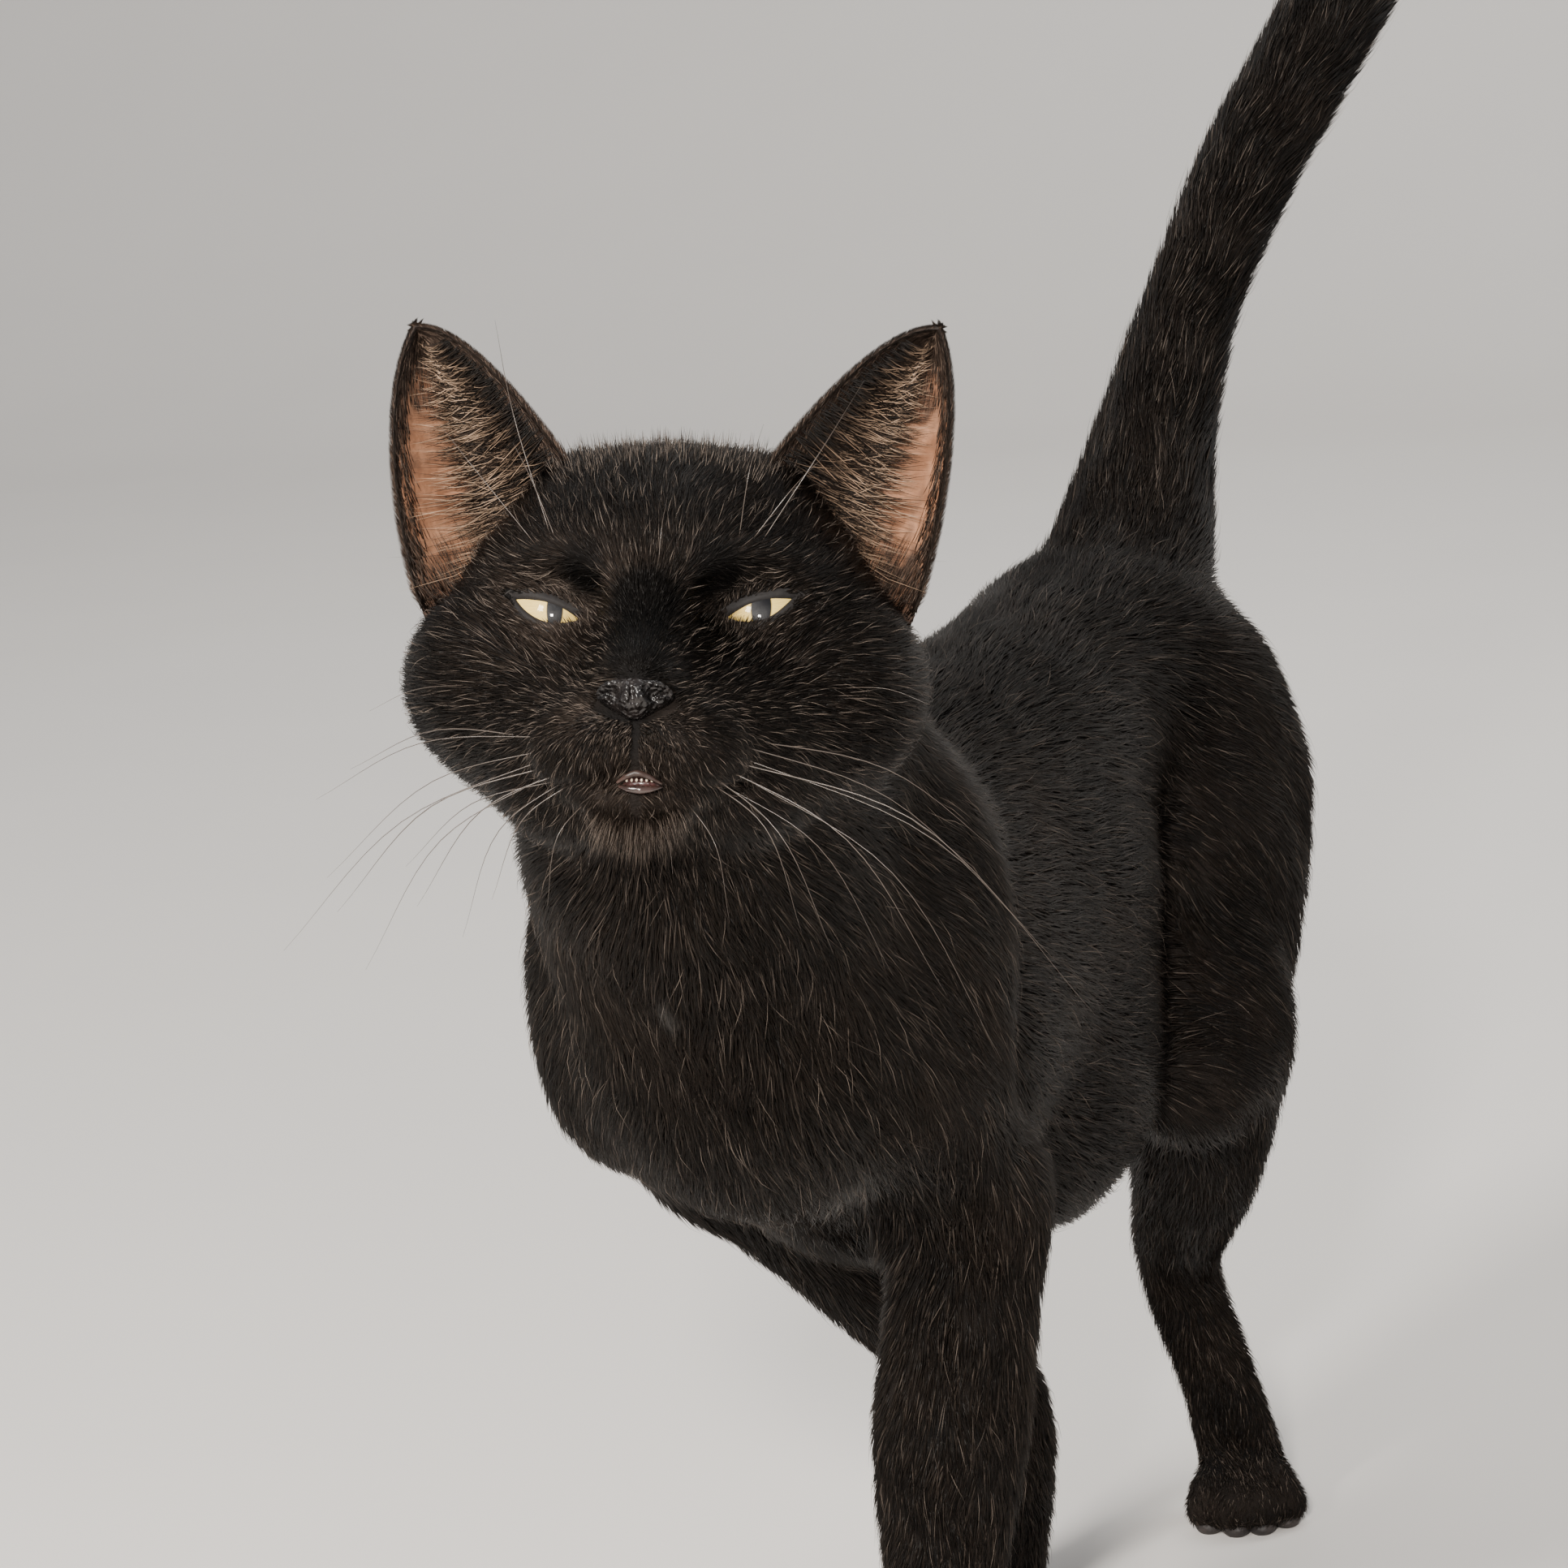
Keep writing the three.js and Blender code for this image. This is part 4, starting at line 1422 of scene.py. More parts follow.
@dataclass
class Eye:
    """One eyeball with a low cornea, and the bare rims of its lids.

    Attributes:
        side: 1 for the cat's left eye and -1 for its right.
        yaw: How far it looks to the cat's left, in degrees.
        pitch: How far it looks up, in degrees.
        pupil_half_width: Half the pupil's width.
        cornea_rise: How far the cornea stands over the ball.
        cornea_reach: Angle from its middle to its edge.
        outsets: How far each row of the rims lies outside the almond's edge.
        reaches: Distance of the first rows from the eye's middle.
        rises: How far the last rows lie over the skin.
    """

    side: int
    yaw: float
    pitch: float
    pupil_half_width: float
    cornea_rise: float = 0.3
    cornea_reach: float = 0.62
    outsets: tuple[float, ...] = (-0.35, -0.1, 0.25, 0.6, 1.1, 1.9, 2.9)
    reaches: tuple[float, ...] = (10.3, 10.62, 10.95, 11.0, 10.9, 10.9, 10.9)
    rises: tuple[float, ...] = (0.15, -0.1, -0.6)
    columns: int = 72

    @property
    def name(self) -> str:
        """Which eye it is."""
        return "left" if self.side > 0 else "right"

    def gaze(self) -> Array:
        """Direction of gaze in the head's axes."""
        yaw, pitch = math.radians(self.yaw), math.radians(self.pitch)
        return np.array([
            math.sin(yaw) * math.cos(pitch), -math.cos(yaw) * math.cos(pitch), math.sin(pitch),
        ])

    def ball(self) -> Object:
        """The eyeball."""
        bm = bmesh.new()
        bmesh.ops.create_uvsphere(bm, u_segments=64, v_segments=40, radius=1.0)
        turn = np.array(Vector(self.gaze()).to_track_quat("Z", "Y").to_matrix())

        def swell(points: Array) -> Array:
            """Carries a ball's points to the eye, with the cornea raised about its pole."""
            ahead = 1 - smooth_step(np.arccos(np.clip(points[:, 2], -1, 1)), 0.1, self.cornea_reach)
            reach = EYE_RADIUS + self.cornea_rise * ahead
            return head_metres(eye_middle(self.side) + points @ turn.T * reach[:, None])

        place(bm, swell)
        finish = EyeFinish(f"iris_{self.name}", self.side, self.gaze(), self.pupil_half_width)
        ball = smooth_piece(f"eyeball_{self.name}", bm, "eye", finish.build())
        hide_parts(f"eye_{self.name}")
        return ball

    def lids(self) -> Object:
        """The rims of both lids, from the eyeball out over the skin."""
        last = len(self.outsets) - 1
        on_skin = last + 1 - len(self.rises)

        def around(turn: Array, share: Array) -> Array:
            """Carries the sheet onto the eyeball and the skin round the opening."""
            row = np.rint(share * last).astype(int)
            points = np.zeros((len(turn), 3))
            for i, outset in enumerate(self.outsets):
                mine = row == i
                loop = LIDS.rim(np.arange(self.columns) / self.columns, outset)
                picked = np.rint(turn[mine] * self.columns).astype(int) % self.columns
                design = from_head(LIDS.raise_up(loop[picked], self.side, self.reaches[i]))
                if i >= on_skin:
                    level = self.rises[i - on_skin] - coat_depth(design)
                    design, _ = ANATOMY.settle(design, level, 3)
                points[mine] = design
            return to_metres(points)

        bm = woven(self.columns, last, around, closed=True)
        bmesh.ops.recalc_face_normals(bm, faces=bm.faces)
        finish = LeatherFinish(f"lid_rim_{self.name}", (0.004, 0.003, 0.003, 1),
                               (0.008, 0.006, 0.005, 1), 0.8, depth=0.0001)
        return smooth_piece(f"lids_{self.name}", bm, "nose", finish.build())


# ---- Nose and mouth ----


@dataclass
class Nose:
    """Nose leather with comma-shaped nostrils and the furrow between them."""

    width: float = 15.0
    height: float = 7.4
    depth: float = 10.0
    middle: Triple = (0, 5.3 - MUZZLE_REACH, -22.3)
    tilt: float = -18.0
    nostril_depth: float = 3.2
    wing_rise: float = 0.5
    furrow_depth: float = 0.8

    def sculpt(self, points: Array) -> Array:
        """Carries a ball's points to the nose in the head's axes."""
        narrow = 0.45 + 0.55 * smooth_step((points[:, 2] + 1) / 2, 0, 0.75)
        shaped = points * np.array([self.width / 2, self.depth / 2, self.height / 2])
        shaped[:, 0] *= narrow
        front = smooth_step(-points[:, 1], -0.15, 0.35)

        def round_spot(x: float, wide: float, z: float, high: float) -> Array:
            """One at a spot on each side of the nose, and less and less away from it."""
            across, up = (np.abs(shaped[:, 0]) - x) / wide, (shaped[:, 2] - z) / high
            return np.exp(-(across**2 + up**2))

        pit = round_spot(3.4, 1.25, -0.4, 1.1) + 0.7 * round_spot(5.2, 1.6, 0.5, 0.6)
        shaped[:, 1] += front * np.minimum(pit, 1.0) * self.nostril_depth
        shaped[:, 1] -= front * round_spot(4.6, 1.6, 1.6, 1.1) * self.wing_rise
        furrow = np.exp(-((shaped[:, 0] / 0.55) ** 2)) * smooth_step(-shaped[:, 2], -1.2, 0.6)
        shaped[:, 1] += front * furrow * self.furrow_depth
        return shaped @ turn_about(X, self.tilt).T + np.array(self.middle)

    def build(self) -> Object:
        """Makes the nose."""
        bm = bmesh.new()
        bmesh.ops.create_icosphere(bm, subdivisions=6, radius=1.0)
        place(bm, lambda points: head_metres(self.sculpt(points)))
        finish = LeatherFinish("nose_leather", (0.004, 0.0035, 0.0035, 1),
                               (0.010, 0.008, 0.0075, 1), 0.27, 1150.0, 0.0007)
        nose = smooth_piece("nose_leather", bm, "nose", finish.build())
        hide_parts("nose")
        return nose


@dataclass
class Mouth:
    """The middle of the mouth, a little open, with small front teeth and a moist lower lip."""

    teeth: int = 6
    tooth_spacing: float = 0.9
    tooth_size: Triple = (0.24, 0.35, 0.34)
    hollow_size: Triple = (3.8, 2.4, 1.5)
    hollow_middle: Triple = (1.3, -22.9, -37.3)
    upper: Path = (
        (-2.7, -25.7, -37.4), (-1.0, -26.5, -36.5), (0.9, -26.9, -35.9), (3.0, -26.4, -36.4),
        (5.4, -25.2, -37.5),
    )
    lower: Path = (
        (-2.5, -25.0, -37.9), (-0.7, -25.7, -38.5), (1.5, -26.0, -38.7), (3.4, -25.6, -38.5),
        (5.3, -24.6, -37.9),
    )

    def lip(self, line: Path, radii: tuple[float, ...], finish: LeatherFinish) -> Object:
        """A rounded lip, named after its finish.

        Args:
            line: The line that its middle follows, in the head's axes.
            radii: Its radii along the line.
            finish: What it looks like.

        Returns:
            The lip.
        """
        bm = bmesh.new()
        Tube(line, radii, 12, 28).into(bm)
        return smooth_piece(finish.name, bm, "nose", finish.build())

    def hollow(self) -> Object:
        """The inside of the mouth behind the lips, its red lining darkened as painted shade."""
        bm = bmesh.new()
        add_ball(bm, 4, self.hollow_size, np.array(self.hollow_middle))
        # The lining's red is painted dark, as the shade inside the mouth.
        finish = LeatherFinish("mouth_lining_in_painted_shade", (0.03, 0.010, 0.009, 1), (0.06, 0.02, 0.018, 1),
                               0.4, wet=0.4)
        return smooth_piece("mouth_inside", bm, "nose", finish.build())

    def front_teeth(self) -> Object:
        """The row of incisors that shows between the lips."""
        bm = bmesh.new()
        for i in range(self.teeth):
            across = (i - (self.teeth - 1) / 2) * self.tooth_spacing
            middle = np.array([across + 1.3, -25.9 + abs(across) * 0.16, -36.9])
            add_ball(bm, 3, self.tooth_size, middle)
        finish = LeatherFinish("tooth_ivory", (0.45, 0.36, 0.27, 1), (0.6, 0.52, 0.42, 1),
                               0.25, 300.0, 0.00005, 0.6)
        return smooth_piece("front_teeth", bm, "eye", finish.build())

    def build(self) -> list[Object]:
        """Makes the lips, what lies behind them, and the teeth."""
        upper = LeatherFinish("upper_lip", (0.015, 0.008, 0.006, 1), (0.048, 0.025, 0.019, 1),
                              0.45, 700.0, 0.0003)
        lower = LeatherFinish("lower_lip", (0.010, 0.006, 0.005, 1), (0.03, 0.015, 0.012, 1),
                              0.25, 700.0, 0.00015, 0.6)
        return [
            self.lip(self.upper, (0.2, 0.5, 0.65, 0.5, 0.2), upper),
            self.lip(self.lower, (0.2, 0.6, 0.8, 0.6, 0.2), lower),
            self.hollow(),
            self.front_teeth(),
        ]


# ---- Ears ----


@dataclass
class Ear:
    """Thin cupped leaf between two rims that start in the head and meet at the tip."""

    side: int
    inner: Path = ((17, 17, 29), (28, 17, 44), (41, 20, 60.5), (50.5, 22, 60.4))
    outer: Path = ((46, 24, 2), (53, 16, 22), (55.6, 18, 48), (50.5, 22, 60.4))
    cup: Triple = (-2, 14, 0)
    thickness: float = 1.0
    columns: int = 40
    rows: int = 52

    @property
    def name(self) -> str:
        """Which ear it is."""
        return "left" if self.side > 0 else "right"

    def rim(self, rim: Path, up: Array) -> Array:
        """Points on a rim, in the axes of the left ear."""
        a, b, c, d = (np.array(p, float) for p in rim)
        t = up[:, None]
        return (1 - t) ** 3 * a + 3 * (1 - t) ** 2 * t * b + 3 * (1 - t) * t * t * c + t**3 * d

    def leaf(self, across: Array, up: Array) -> Array:
        """Points on the middle of the leaf in the head's axes, of the left ear.

        Args:
            across: 0 on the inner rim and 1 on the outer one.
            up: 0 at the root and 1 at the tip.

        Returns:
            The points.
        """
        share = across[:, None]
        flat = self.rim(self.inner, up) * (1 - share) + self.rim(self.outer, up) * share
        depth = 4 * across * (1 - across) * np.sqrt(np.maximum(1 - up, 0))
        return flat + depth[:, None] * np.array(self.cup)

    def facing(self, across: Array, up: Array) -> Array:
        """Directions straight out of the hollow side of the leaf, taken just short of its ends."""
        step = 0.01
        up = np.clip(up, 0.02, 0.98)
        higher, lower = np.minimum(up + step, 1), np.maximum(up - step, 0)
        outer, inner = np.minimum(across + step, 1), np.maximum(across - step, 0)
        ahead = self.leaf(across, higher) - self.leaf(across, lower)
        sideways = self.leaf(outer, up) - self.leaf(inner, up)
        return unit(np.cross(sideways, ahead))

    def mirrored(self, points: Array) -> Array:
        """Points or directions of the left ear on this ear's own side."""
        return points * np.array([self.side, 1, 1])

    def sheet(self, face: int) -> BMesh:
        """One side of the shell, meeting the other at its edges.

        Args:
            face: 1 for the hollow side and -1 for the back.

        Returns:
            The sheet.
        """

        def surface(across: Array, up: Array) -> Array:
            """Points on this side of the leaf."""
            edge = np.sqrt(np.clip(4 * across * (1 - across), 0, 1)) ** 0.5
            half = self.thickness / 2 * edge * np.sqrt(np.clip((1 - up) * 8, 0, 1))
            half = half * np.sqrt(np.clip(up * 20, 0, 1))
            out = self.facing(across, up) * half[:, None]
            return head_metres(self.mirrored(self.leaf(across, up) + out * face))

        return woven(self.columns, self.rows, surface, "Leaf")

    def build(self) -> Object:
        """Makes the ear's shell, its first material inside and its second outside."""
        bm = self.sheet(1)
        back = self.sheet(-1)
        for face in back.faces:
            face.material_index = 1
        append(bm, back)
        bmesh.ops.remove_doubles(bm, verts=bm.verts, dist=2e-6)
        bmesh.ops.dissolve_degenerate(bm, edges=bm.edges, dist=1e-7)
        bmesh.ops.recalc_face_normals(bm, faces=bm.faces)
        inside = EarSkinFinish(f"ear_skin_{self.name}").build()
        outside = SkinFinish(f"ear_back_{self.name}").build()
        ear = smooth_piece(f"ear_shell_{self.name}", bm, "fur", inside, outside)
        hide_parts(f"ear_{self.name}")
        return ear


# ---- Paws ----


@dataclass
class Pads:
    """The bare pads under the paws, pressed flat on the floor."""

    toe_pad: Triple = (3.6, 4.6, 2.6)
    sole_pad: Triple = (7.6, 5.6, 3.0)

    def one(self, bm: BMesh, middle: Array, sizes: Triple, heading: float) -> None:
        """Adds one pad, cut flat at the floor.

        Args:
            bm: What it is added to, in metres.
            middle: Its middle in the design.
            sizes: Half sizes across, along and up.
            heading: Where the paw points, in degrees.
        """
        pad = bmesh.new()
        bmesh.ops.create_icosphere(pad, subdivisions=4, radius=1.0)
        turn = turn_about(Z, heading)
        place(pad, lambda points: to_metres(points * np.array(sizes) @ turn.T + middle))
        whole = [*pad.verts, *pad.edges, *pad.faces]
        cut = bmesh.ops.bisect_plane(pad, geom=whole, plane_co=(0, 0, 0), plane_no=(0, 0, -1),
                                     clear_outer=True)
        rim = [g for g in cut["geom_cut"] if isinstance(g, bmesh.types.BMEdge)]
        bmesh.ops.contextual_create(pad, geom=rim)
        append(bm, pad)

    def build(self) -> Object:
        """Makes the pads of all four paws."""
        bm = bmesh.new()
        for leg in LEGS.values():
            forward, _ = leg.axes()
            for toe in leg.toes():
                tip = np.array([toe.end[0], toe.end[1], 1.7]) + forward * 0.6
                self.one(bm, tip, self.toe_pad, leg.heading)
            sole = np.array([leg.ball[0], leg.ball[1], 1.9]) - forward * 4.5
            self.one(bm, sole, self.sole_pad, leg.heading)
        bmesh.ops.recalc_face_normals(bm, faces=bm.faces)
        finish = LeatherFinish("pad_leather", (0.014, 0.012, 0.012, 1), (0.035, 0.028, 0.026, 1),
                               0.6, 900.0, 0.0003)
        return smooth_piece("paw_pads", bm, "nose", finish.build())


# ---- Whiskers ----


WhiskerMeasures = tuple[Triple, Triple, Triple, float]


def whisker(root: Triple, tip: Triple, bow: Triple, radius: float) -> Tube:
    """One long stiff hair in the head's axes.

    Args:
        root: Where it grows.
        tip: Where it ends.
        bow: How far its middle lies from the straight line between them.
        radius: Its radius at the root.

    Returns:
        The whisker.
    """
    middle = (np.array(root, float) + np.array(tip, float)) / 2 + np.array(bow, float)
    return Tube((root, tuple(middle), tip), (radius, radius * 0.75, 0.02), 4, 14)


@dataclass
class Whiskers:
    """The whiskers of the lip, the brows and the cheeks, on both sides."""

    right_lip: tuple[WhiskerMeasures, ...] = (
        ((-15, -14, -30), (-66, -2, -65), (-3, -4, 5), 0.10),
        ((-16, -12, -33), (-51, 0, -68), (-3, -4, 5), 0.10),
        ((-14, -13, -34.5), (-44, -2, -49), (-2, -3, 3), 0.10),
        ((-12, -15, -34), (-33, -2, -62), (-3, -4, 4), 0.10),
        ((-15, -15, -27), (-62, 2, -36), (-2, -4, 4), 0.10),
        ((-13, -17, -29), (-60, 6, -50), (-2, -4, 5), 0.10),
        ((-11, -16, -35), (-27, -8, -56), (-2, -3, 3), 0.12),
        ((-10, -19, -33), (-40, -12, -58), (-3, -3, 4), 0.13),
        ((-16, -11, -27), (-58, 14, -28), (-2, -4, 4), 0.12),
        ((-14, -14, -31.5), (-56, -4, -58), (-3, -4, 5), 0.14),
        ((-8, -17, -38), (-16, -14, -58), (-2, -3, 2), 0.10),
    )
    left_lip: tuple[WhiskerMeasures, ...] = (
        ((15, -14, -29), (83, -2, -75), (5, -4, 7), 0.10),
        ((16, -12, -32), (66, 0, -83), (5, -4, 7), 0.10),
        ((13, -13, -34), (46, -2, -68), (3, -4, 5), 0.10),
        ((14, -15, -27), (70, 6, -58), (3, -4, 6), 0.10),
        ((12, -17, -31), (56, -6, -72), (4, -4, 6), 0.14),
        ((11, -17, -34), (30, -12, -62), (3, -4, 4), 0.13),
        ((16, -11, -26), (66, 14, -44), (3, -4, 5), 0.12),
        ((10, -19, -32), (36, -14, -66), (3, -3, 4), 0.12),
        ((15, -14, -30.5), (76, -6, -66), (4, -4, 7), 0.14),
        ((8, -17, -38), (17, -14, -60), (2, -3, 2), 0.10),
    )
    brows: tuple[WhiskerMeasures, ...] = (
        ((-19, -4, 12.5), (-32, 2, 56), (-1, -6, 1), 0.12),
        ((-18, -5, 12.0), (-27, -3, 31), (0, -3, 1), 0.11),
        ((-22, -3, 11.5), (-42, 0, 36), (-2, -4, 2), 0.10),
        ((18.6, -5, 12.5), (31, -2, 29), (1, -3, 1), 0.11),
        ((20, -4, 12.0), (38, 0, 44), (2, -5, 1), 0.11),
        ((16, -6, 12.0), (20, -6, 34), (0, -4, 1), 0.10),
        ((2, -12, 6.5), (3, -10, 19), (0, -2, 0), 0.09),
    )
    cheeks: tuple[WhiskerMeasures, ...] = (
        ((34, 2, -14), (52, -2, -18), (1, -2, 1), 0.07),
        ((-34, 2, -14), (-52, -2, -20), (-1, -2, 1), 0.07),
        ((4, -22, -43), (8, -27, -54), (1, -1, 0), 0.06),
        ((-4, -22, -43), (-7, -28, -53), (-1, -1, 0), 0.06),
    )

    def build(self) -> Object:
        """Makes all whiskers as one piece."""
        bm = bmesh.new()
        for measures in (*self.right_lip, *self.left_lip, *self.brows, *self.cheeks):
            whisker(*measures).into(bm)
        finish = MottledFinish("whisker_hair", (0.060, 0.046, 0.037, 1), 0.75, 70.0, 0.3)
        return smooth_piece("whiskers", bm, "fur", finish.build())


# ---- Coat ----


def chunks(count: int) -> list[slice]:
    """Slices of a long array that are short enough to be worked on at once."""
    return [slice(start, start + CHUNK) for start in range(0, count, CHUNK)]


class LieOfCoat:
    """The way that the hair lies all over the cat, led by guides: places with a direction each."""

    head_middle: Triple = (0, 22, -4)
    head_edge: Range = (66, 50)
    nape: Range = (62, 44)
    on_middle: tuple[tuple[Triple, Triple], ...] = (
        ((0, 0, 244), (0, 1, -0.1)), ((0, 60, 242), (0, 1, 0)), ((0, 130, 246), (0, 1, 0.02)),
        ((0, 200, 250), (0, 1, -0.05)), ((6, -30, 272), (0, 0.8, -0.55)),
        ((6, -85, 225), (0, 0.05, -1)), ((3, -66, 195), (0, 0.1, -1)),
        ((0, -50, 165), (0, 0.45, -1)), ((0, 0, 128), (0, 1, -0.2)), ((0, 70, 122), (0, 1, 0)),
        ((0, 150, 112), (0, 1, 0.1)), ((0, 190, 130), (0, 0.8, 0.2)),
        ((0, 262, 200), (0, 0.1, -1)),
    )
    on_left: tuple[tuple[Triple, Triple], ...] = (
        ((36, -60, 240), (0.1, 0.5, -0.9)), ((40, -30, 220), (0.1, 0.6, -0.8)),
        ((47, -12, 205), (0, 0.45, -0.9)), ((44, 5, 165), (0, 0.5, -0.85)),
        ((38, 50, 200), (0, 0.95, -0.35)), ((38, 55, 160), (0, 0.9, -0.45)),
        ((37, 110, 205), (0, 0.97, -0.25)), ((36, 110, 155), (0, 0.95, -0.3)),
        ((36, 150, 170), (0, 0.9, -0.45)), ((28, 150, 125), (0, 0.95, -0.2)),
        ((46, 190, 210), (0, 0.7, -0.7)), ((48, 200, 170), (0, 0.45, -0.9)),
        ((35, 245, 215), (0, 0.5, -0.85)), ((30, 255, 180), (0, 0, -1)),
        ((20, -50, 180), (0.3, 0.35, -0.9)),
    )

    def __init__(self) -> None:
        """Lists the guides that the hair follows: those given, and more down legs and tail."""
        guides = list(self.on_middle)
        for side in SIDES:
            flip = np.array([side, 1, 1])
            guides += [(flip * where, flip * way) for where, way in self.on_left]
        for leg in LEGS.values():
            chain = np.array([*(joint[0] for joint in leg.joints), leg.ball], float)
            for start, end in zip(chain, chain[1:]):
                guides += [(start, end - start), ((start + end) / 2, end - start)]
            guides.append((chain[-1], leg.axes()[0] - np.array([0, 0, 0.3])))
        tail = np.array([joint[0] for joint in TAIL_JOINTS], float)
        guides += [(start, end - start) for start, end in zip(tail, tail[1:])]
        guides.append((tail[-1], tail[-1] - tail[-2]))
        places, ways = zip(*guides)
        self.places = np.array(places, float)
        self.ways = unit(np.array(ways, float))

    def along(self, roots: Roots) -> Array:
        """Direction of the hair at each root, along the skin.

        Args:
            roots: Where it is wanted.

        Returns:
            Directions of the design.
        """
        ways = np.zeros_like(roots.places)
        for part in chunks(len(ways)):
            offset = roots.places[part, None] - self.places[None]
            weights = 1 / ((offset**2).sum(axis=2) + 80) ** 2
            ways[part] = unit(weights @ self.ways)
        local = to_head(roots.places)
        from_nose = unit(roots.places - from_head(np.array(MUZZLE_FRONT)))
        from_middle = np.linalg.norm(local - np.array(self.head_middle), axis=1)
        on_head = smooth_step(from_middle, *self.head_edge) * smooth_step(local[:, 1], *self.nape)
        ways += (from_nose - ways) * on_head[:, None]
        from_midline = local[:, 0] - MUZZLE_MIDLINE
        parted = 0.6 * smooth_step(np.abs(from_midline), 4, 0.5)
        parted *= (local[:, 1] < -18) & (local[:, 2] < -24)
        ways += (np.sign(from_midline) * parted)[:, None] * HEAD_TURN[:, 0]
        ways -= roots.outward * (ways * roots.outward).sum(axis=1, keepdims=True)
        return unit(ways)


Belongs = Callable[[Roots, Array], Array]


@dataclass(frozen=True)
class Lock:
    """Measures of the tufts in one part of the coat.

    Attributes:
        name: Name of the piece.
        count: How many tufts it has.
        belongs: Whether roots, given with their region's name, are in this part.
        unwrap: Gives places between 0 and 1 on an unwrap of the skin's shape.
        tufts_per_hair: How many tufts there are to each single hair.
    """

    name: str
    count: int
    belongs: Belongs
    unwrap: Callable[[Array], Array]
    tufts_per_hair: int = 45


def unwrap_head(points: Array) -> Array:
    """Unwrap of the head about its nose, as if seen all round from inside.

    Args:
        points: Places of the design.

    Returns:
        Places between 0 and 1.
    """
    local = unit(to_head(points) - np.array([0, 20, -8]))
    reach = np.arccos(np.clip(-local[:, 1], -1, 1)) / math.pi
    angle = np.arctan2(local[:, 2], local[:, 0])
    return 0.5 + 0.49 * np.stack([reach * np.cos(angle), reach * np.sin(angle)], axis=1)


def unwrap_round(axis: Sequence[Triple]) -> Callable[[Array], Array]:
    """Unwrap of a long body round its bent axis.

    Args:
        axis: Points of the axis.

    Returns:
        A function that gives places between 0 and 1.
    """
    spine = np.array([catmull_rom(axis, s) for s in np.linspace(0, 1, 60)])
    lengths = np.concatenate([[0], np.cumsum(np.linalg.norm(np.diff(spine, axis=0), axis=1))])

    def unwrap(points: Array) -> Array:
        """Angle about the axis, and the way along it."""
        nearest = np.zeros(len(points), int)
        for part in chunks(len(points)):
            nearest[part] = ((points[part, None] - spine[None]) ** 2).sum(axis=2).argmin(axis=1)
        ahead = unit(np.gradient(spine, axis=0))[nearest]
        side = unit(np.array([1.0, 0, 0]) - ahead * ahead[:, :1])
        over = np.cross(side, ahead)
        offset = points - spine[nearest]
        beyond = (offset * ahead).sum(axis=1)
        along = (lengths[nearest] + beyond + 40) / (lengths[-1] + 80)
        angle = np.arctan2((offset * over).sum(axis=1), (offset * side).sum(axis=1))
        return np.stack([angle / math.tau + 0.5, np.clip(along, 0.005, 0.99)], axis=1)

    return unwrap


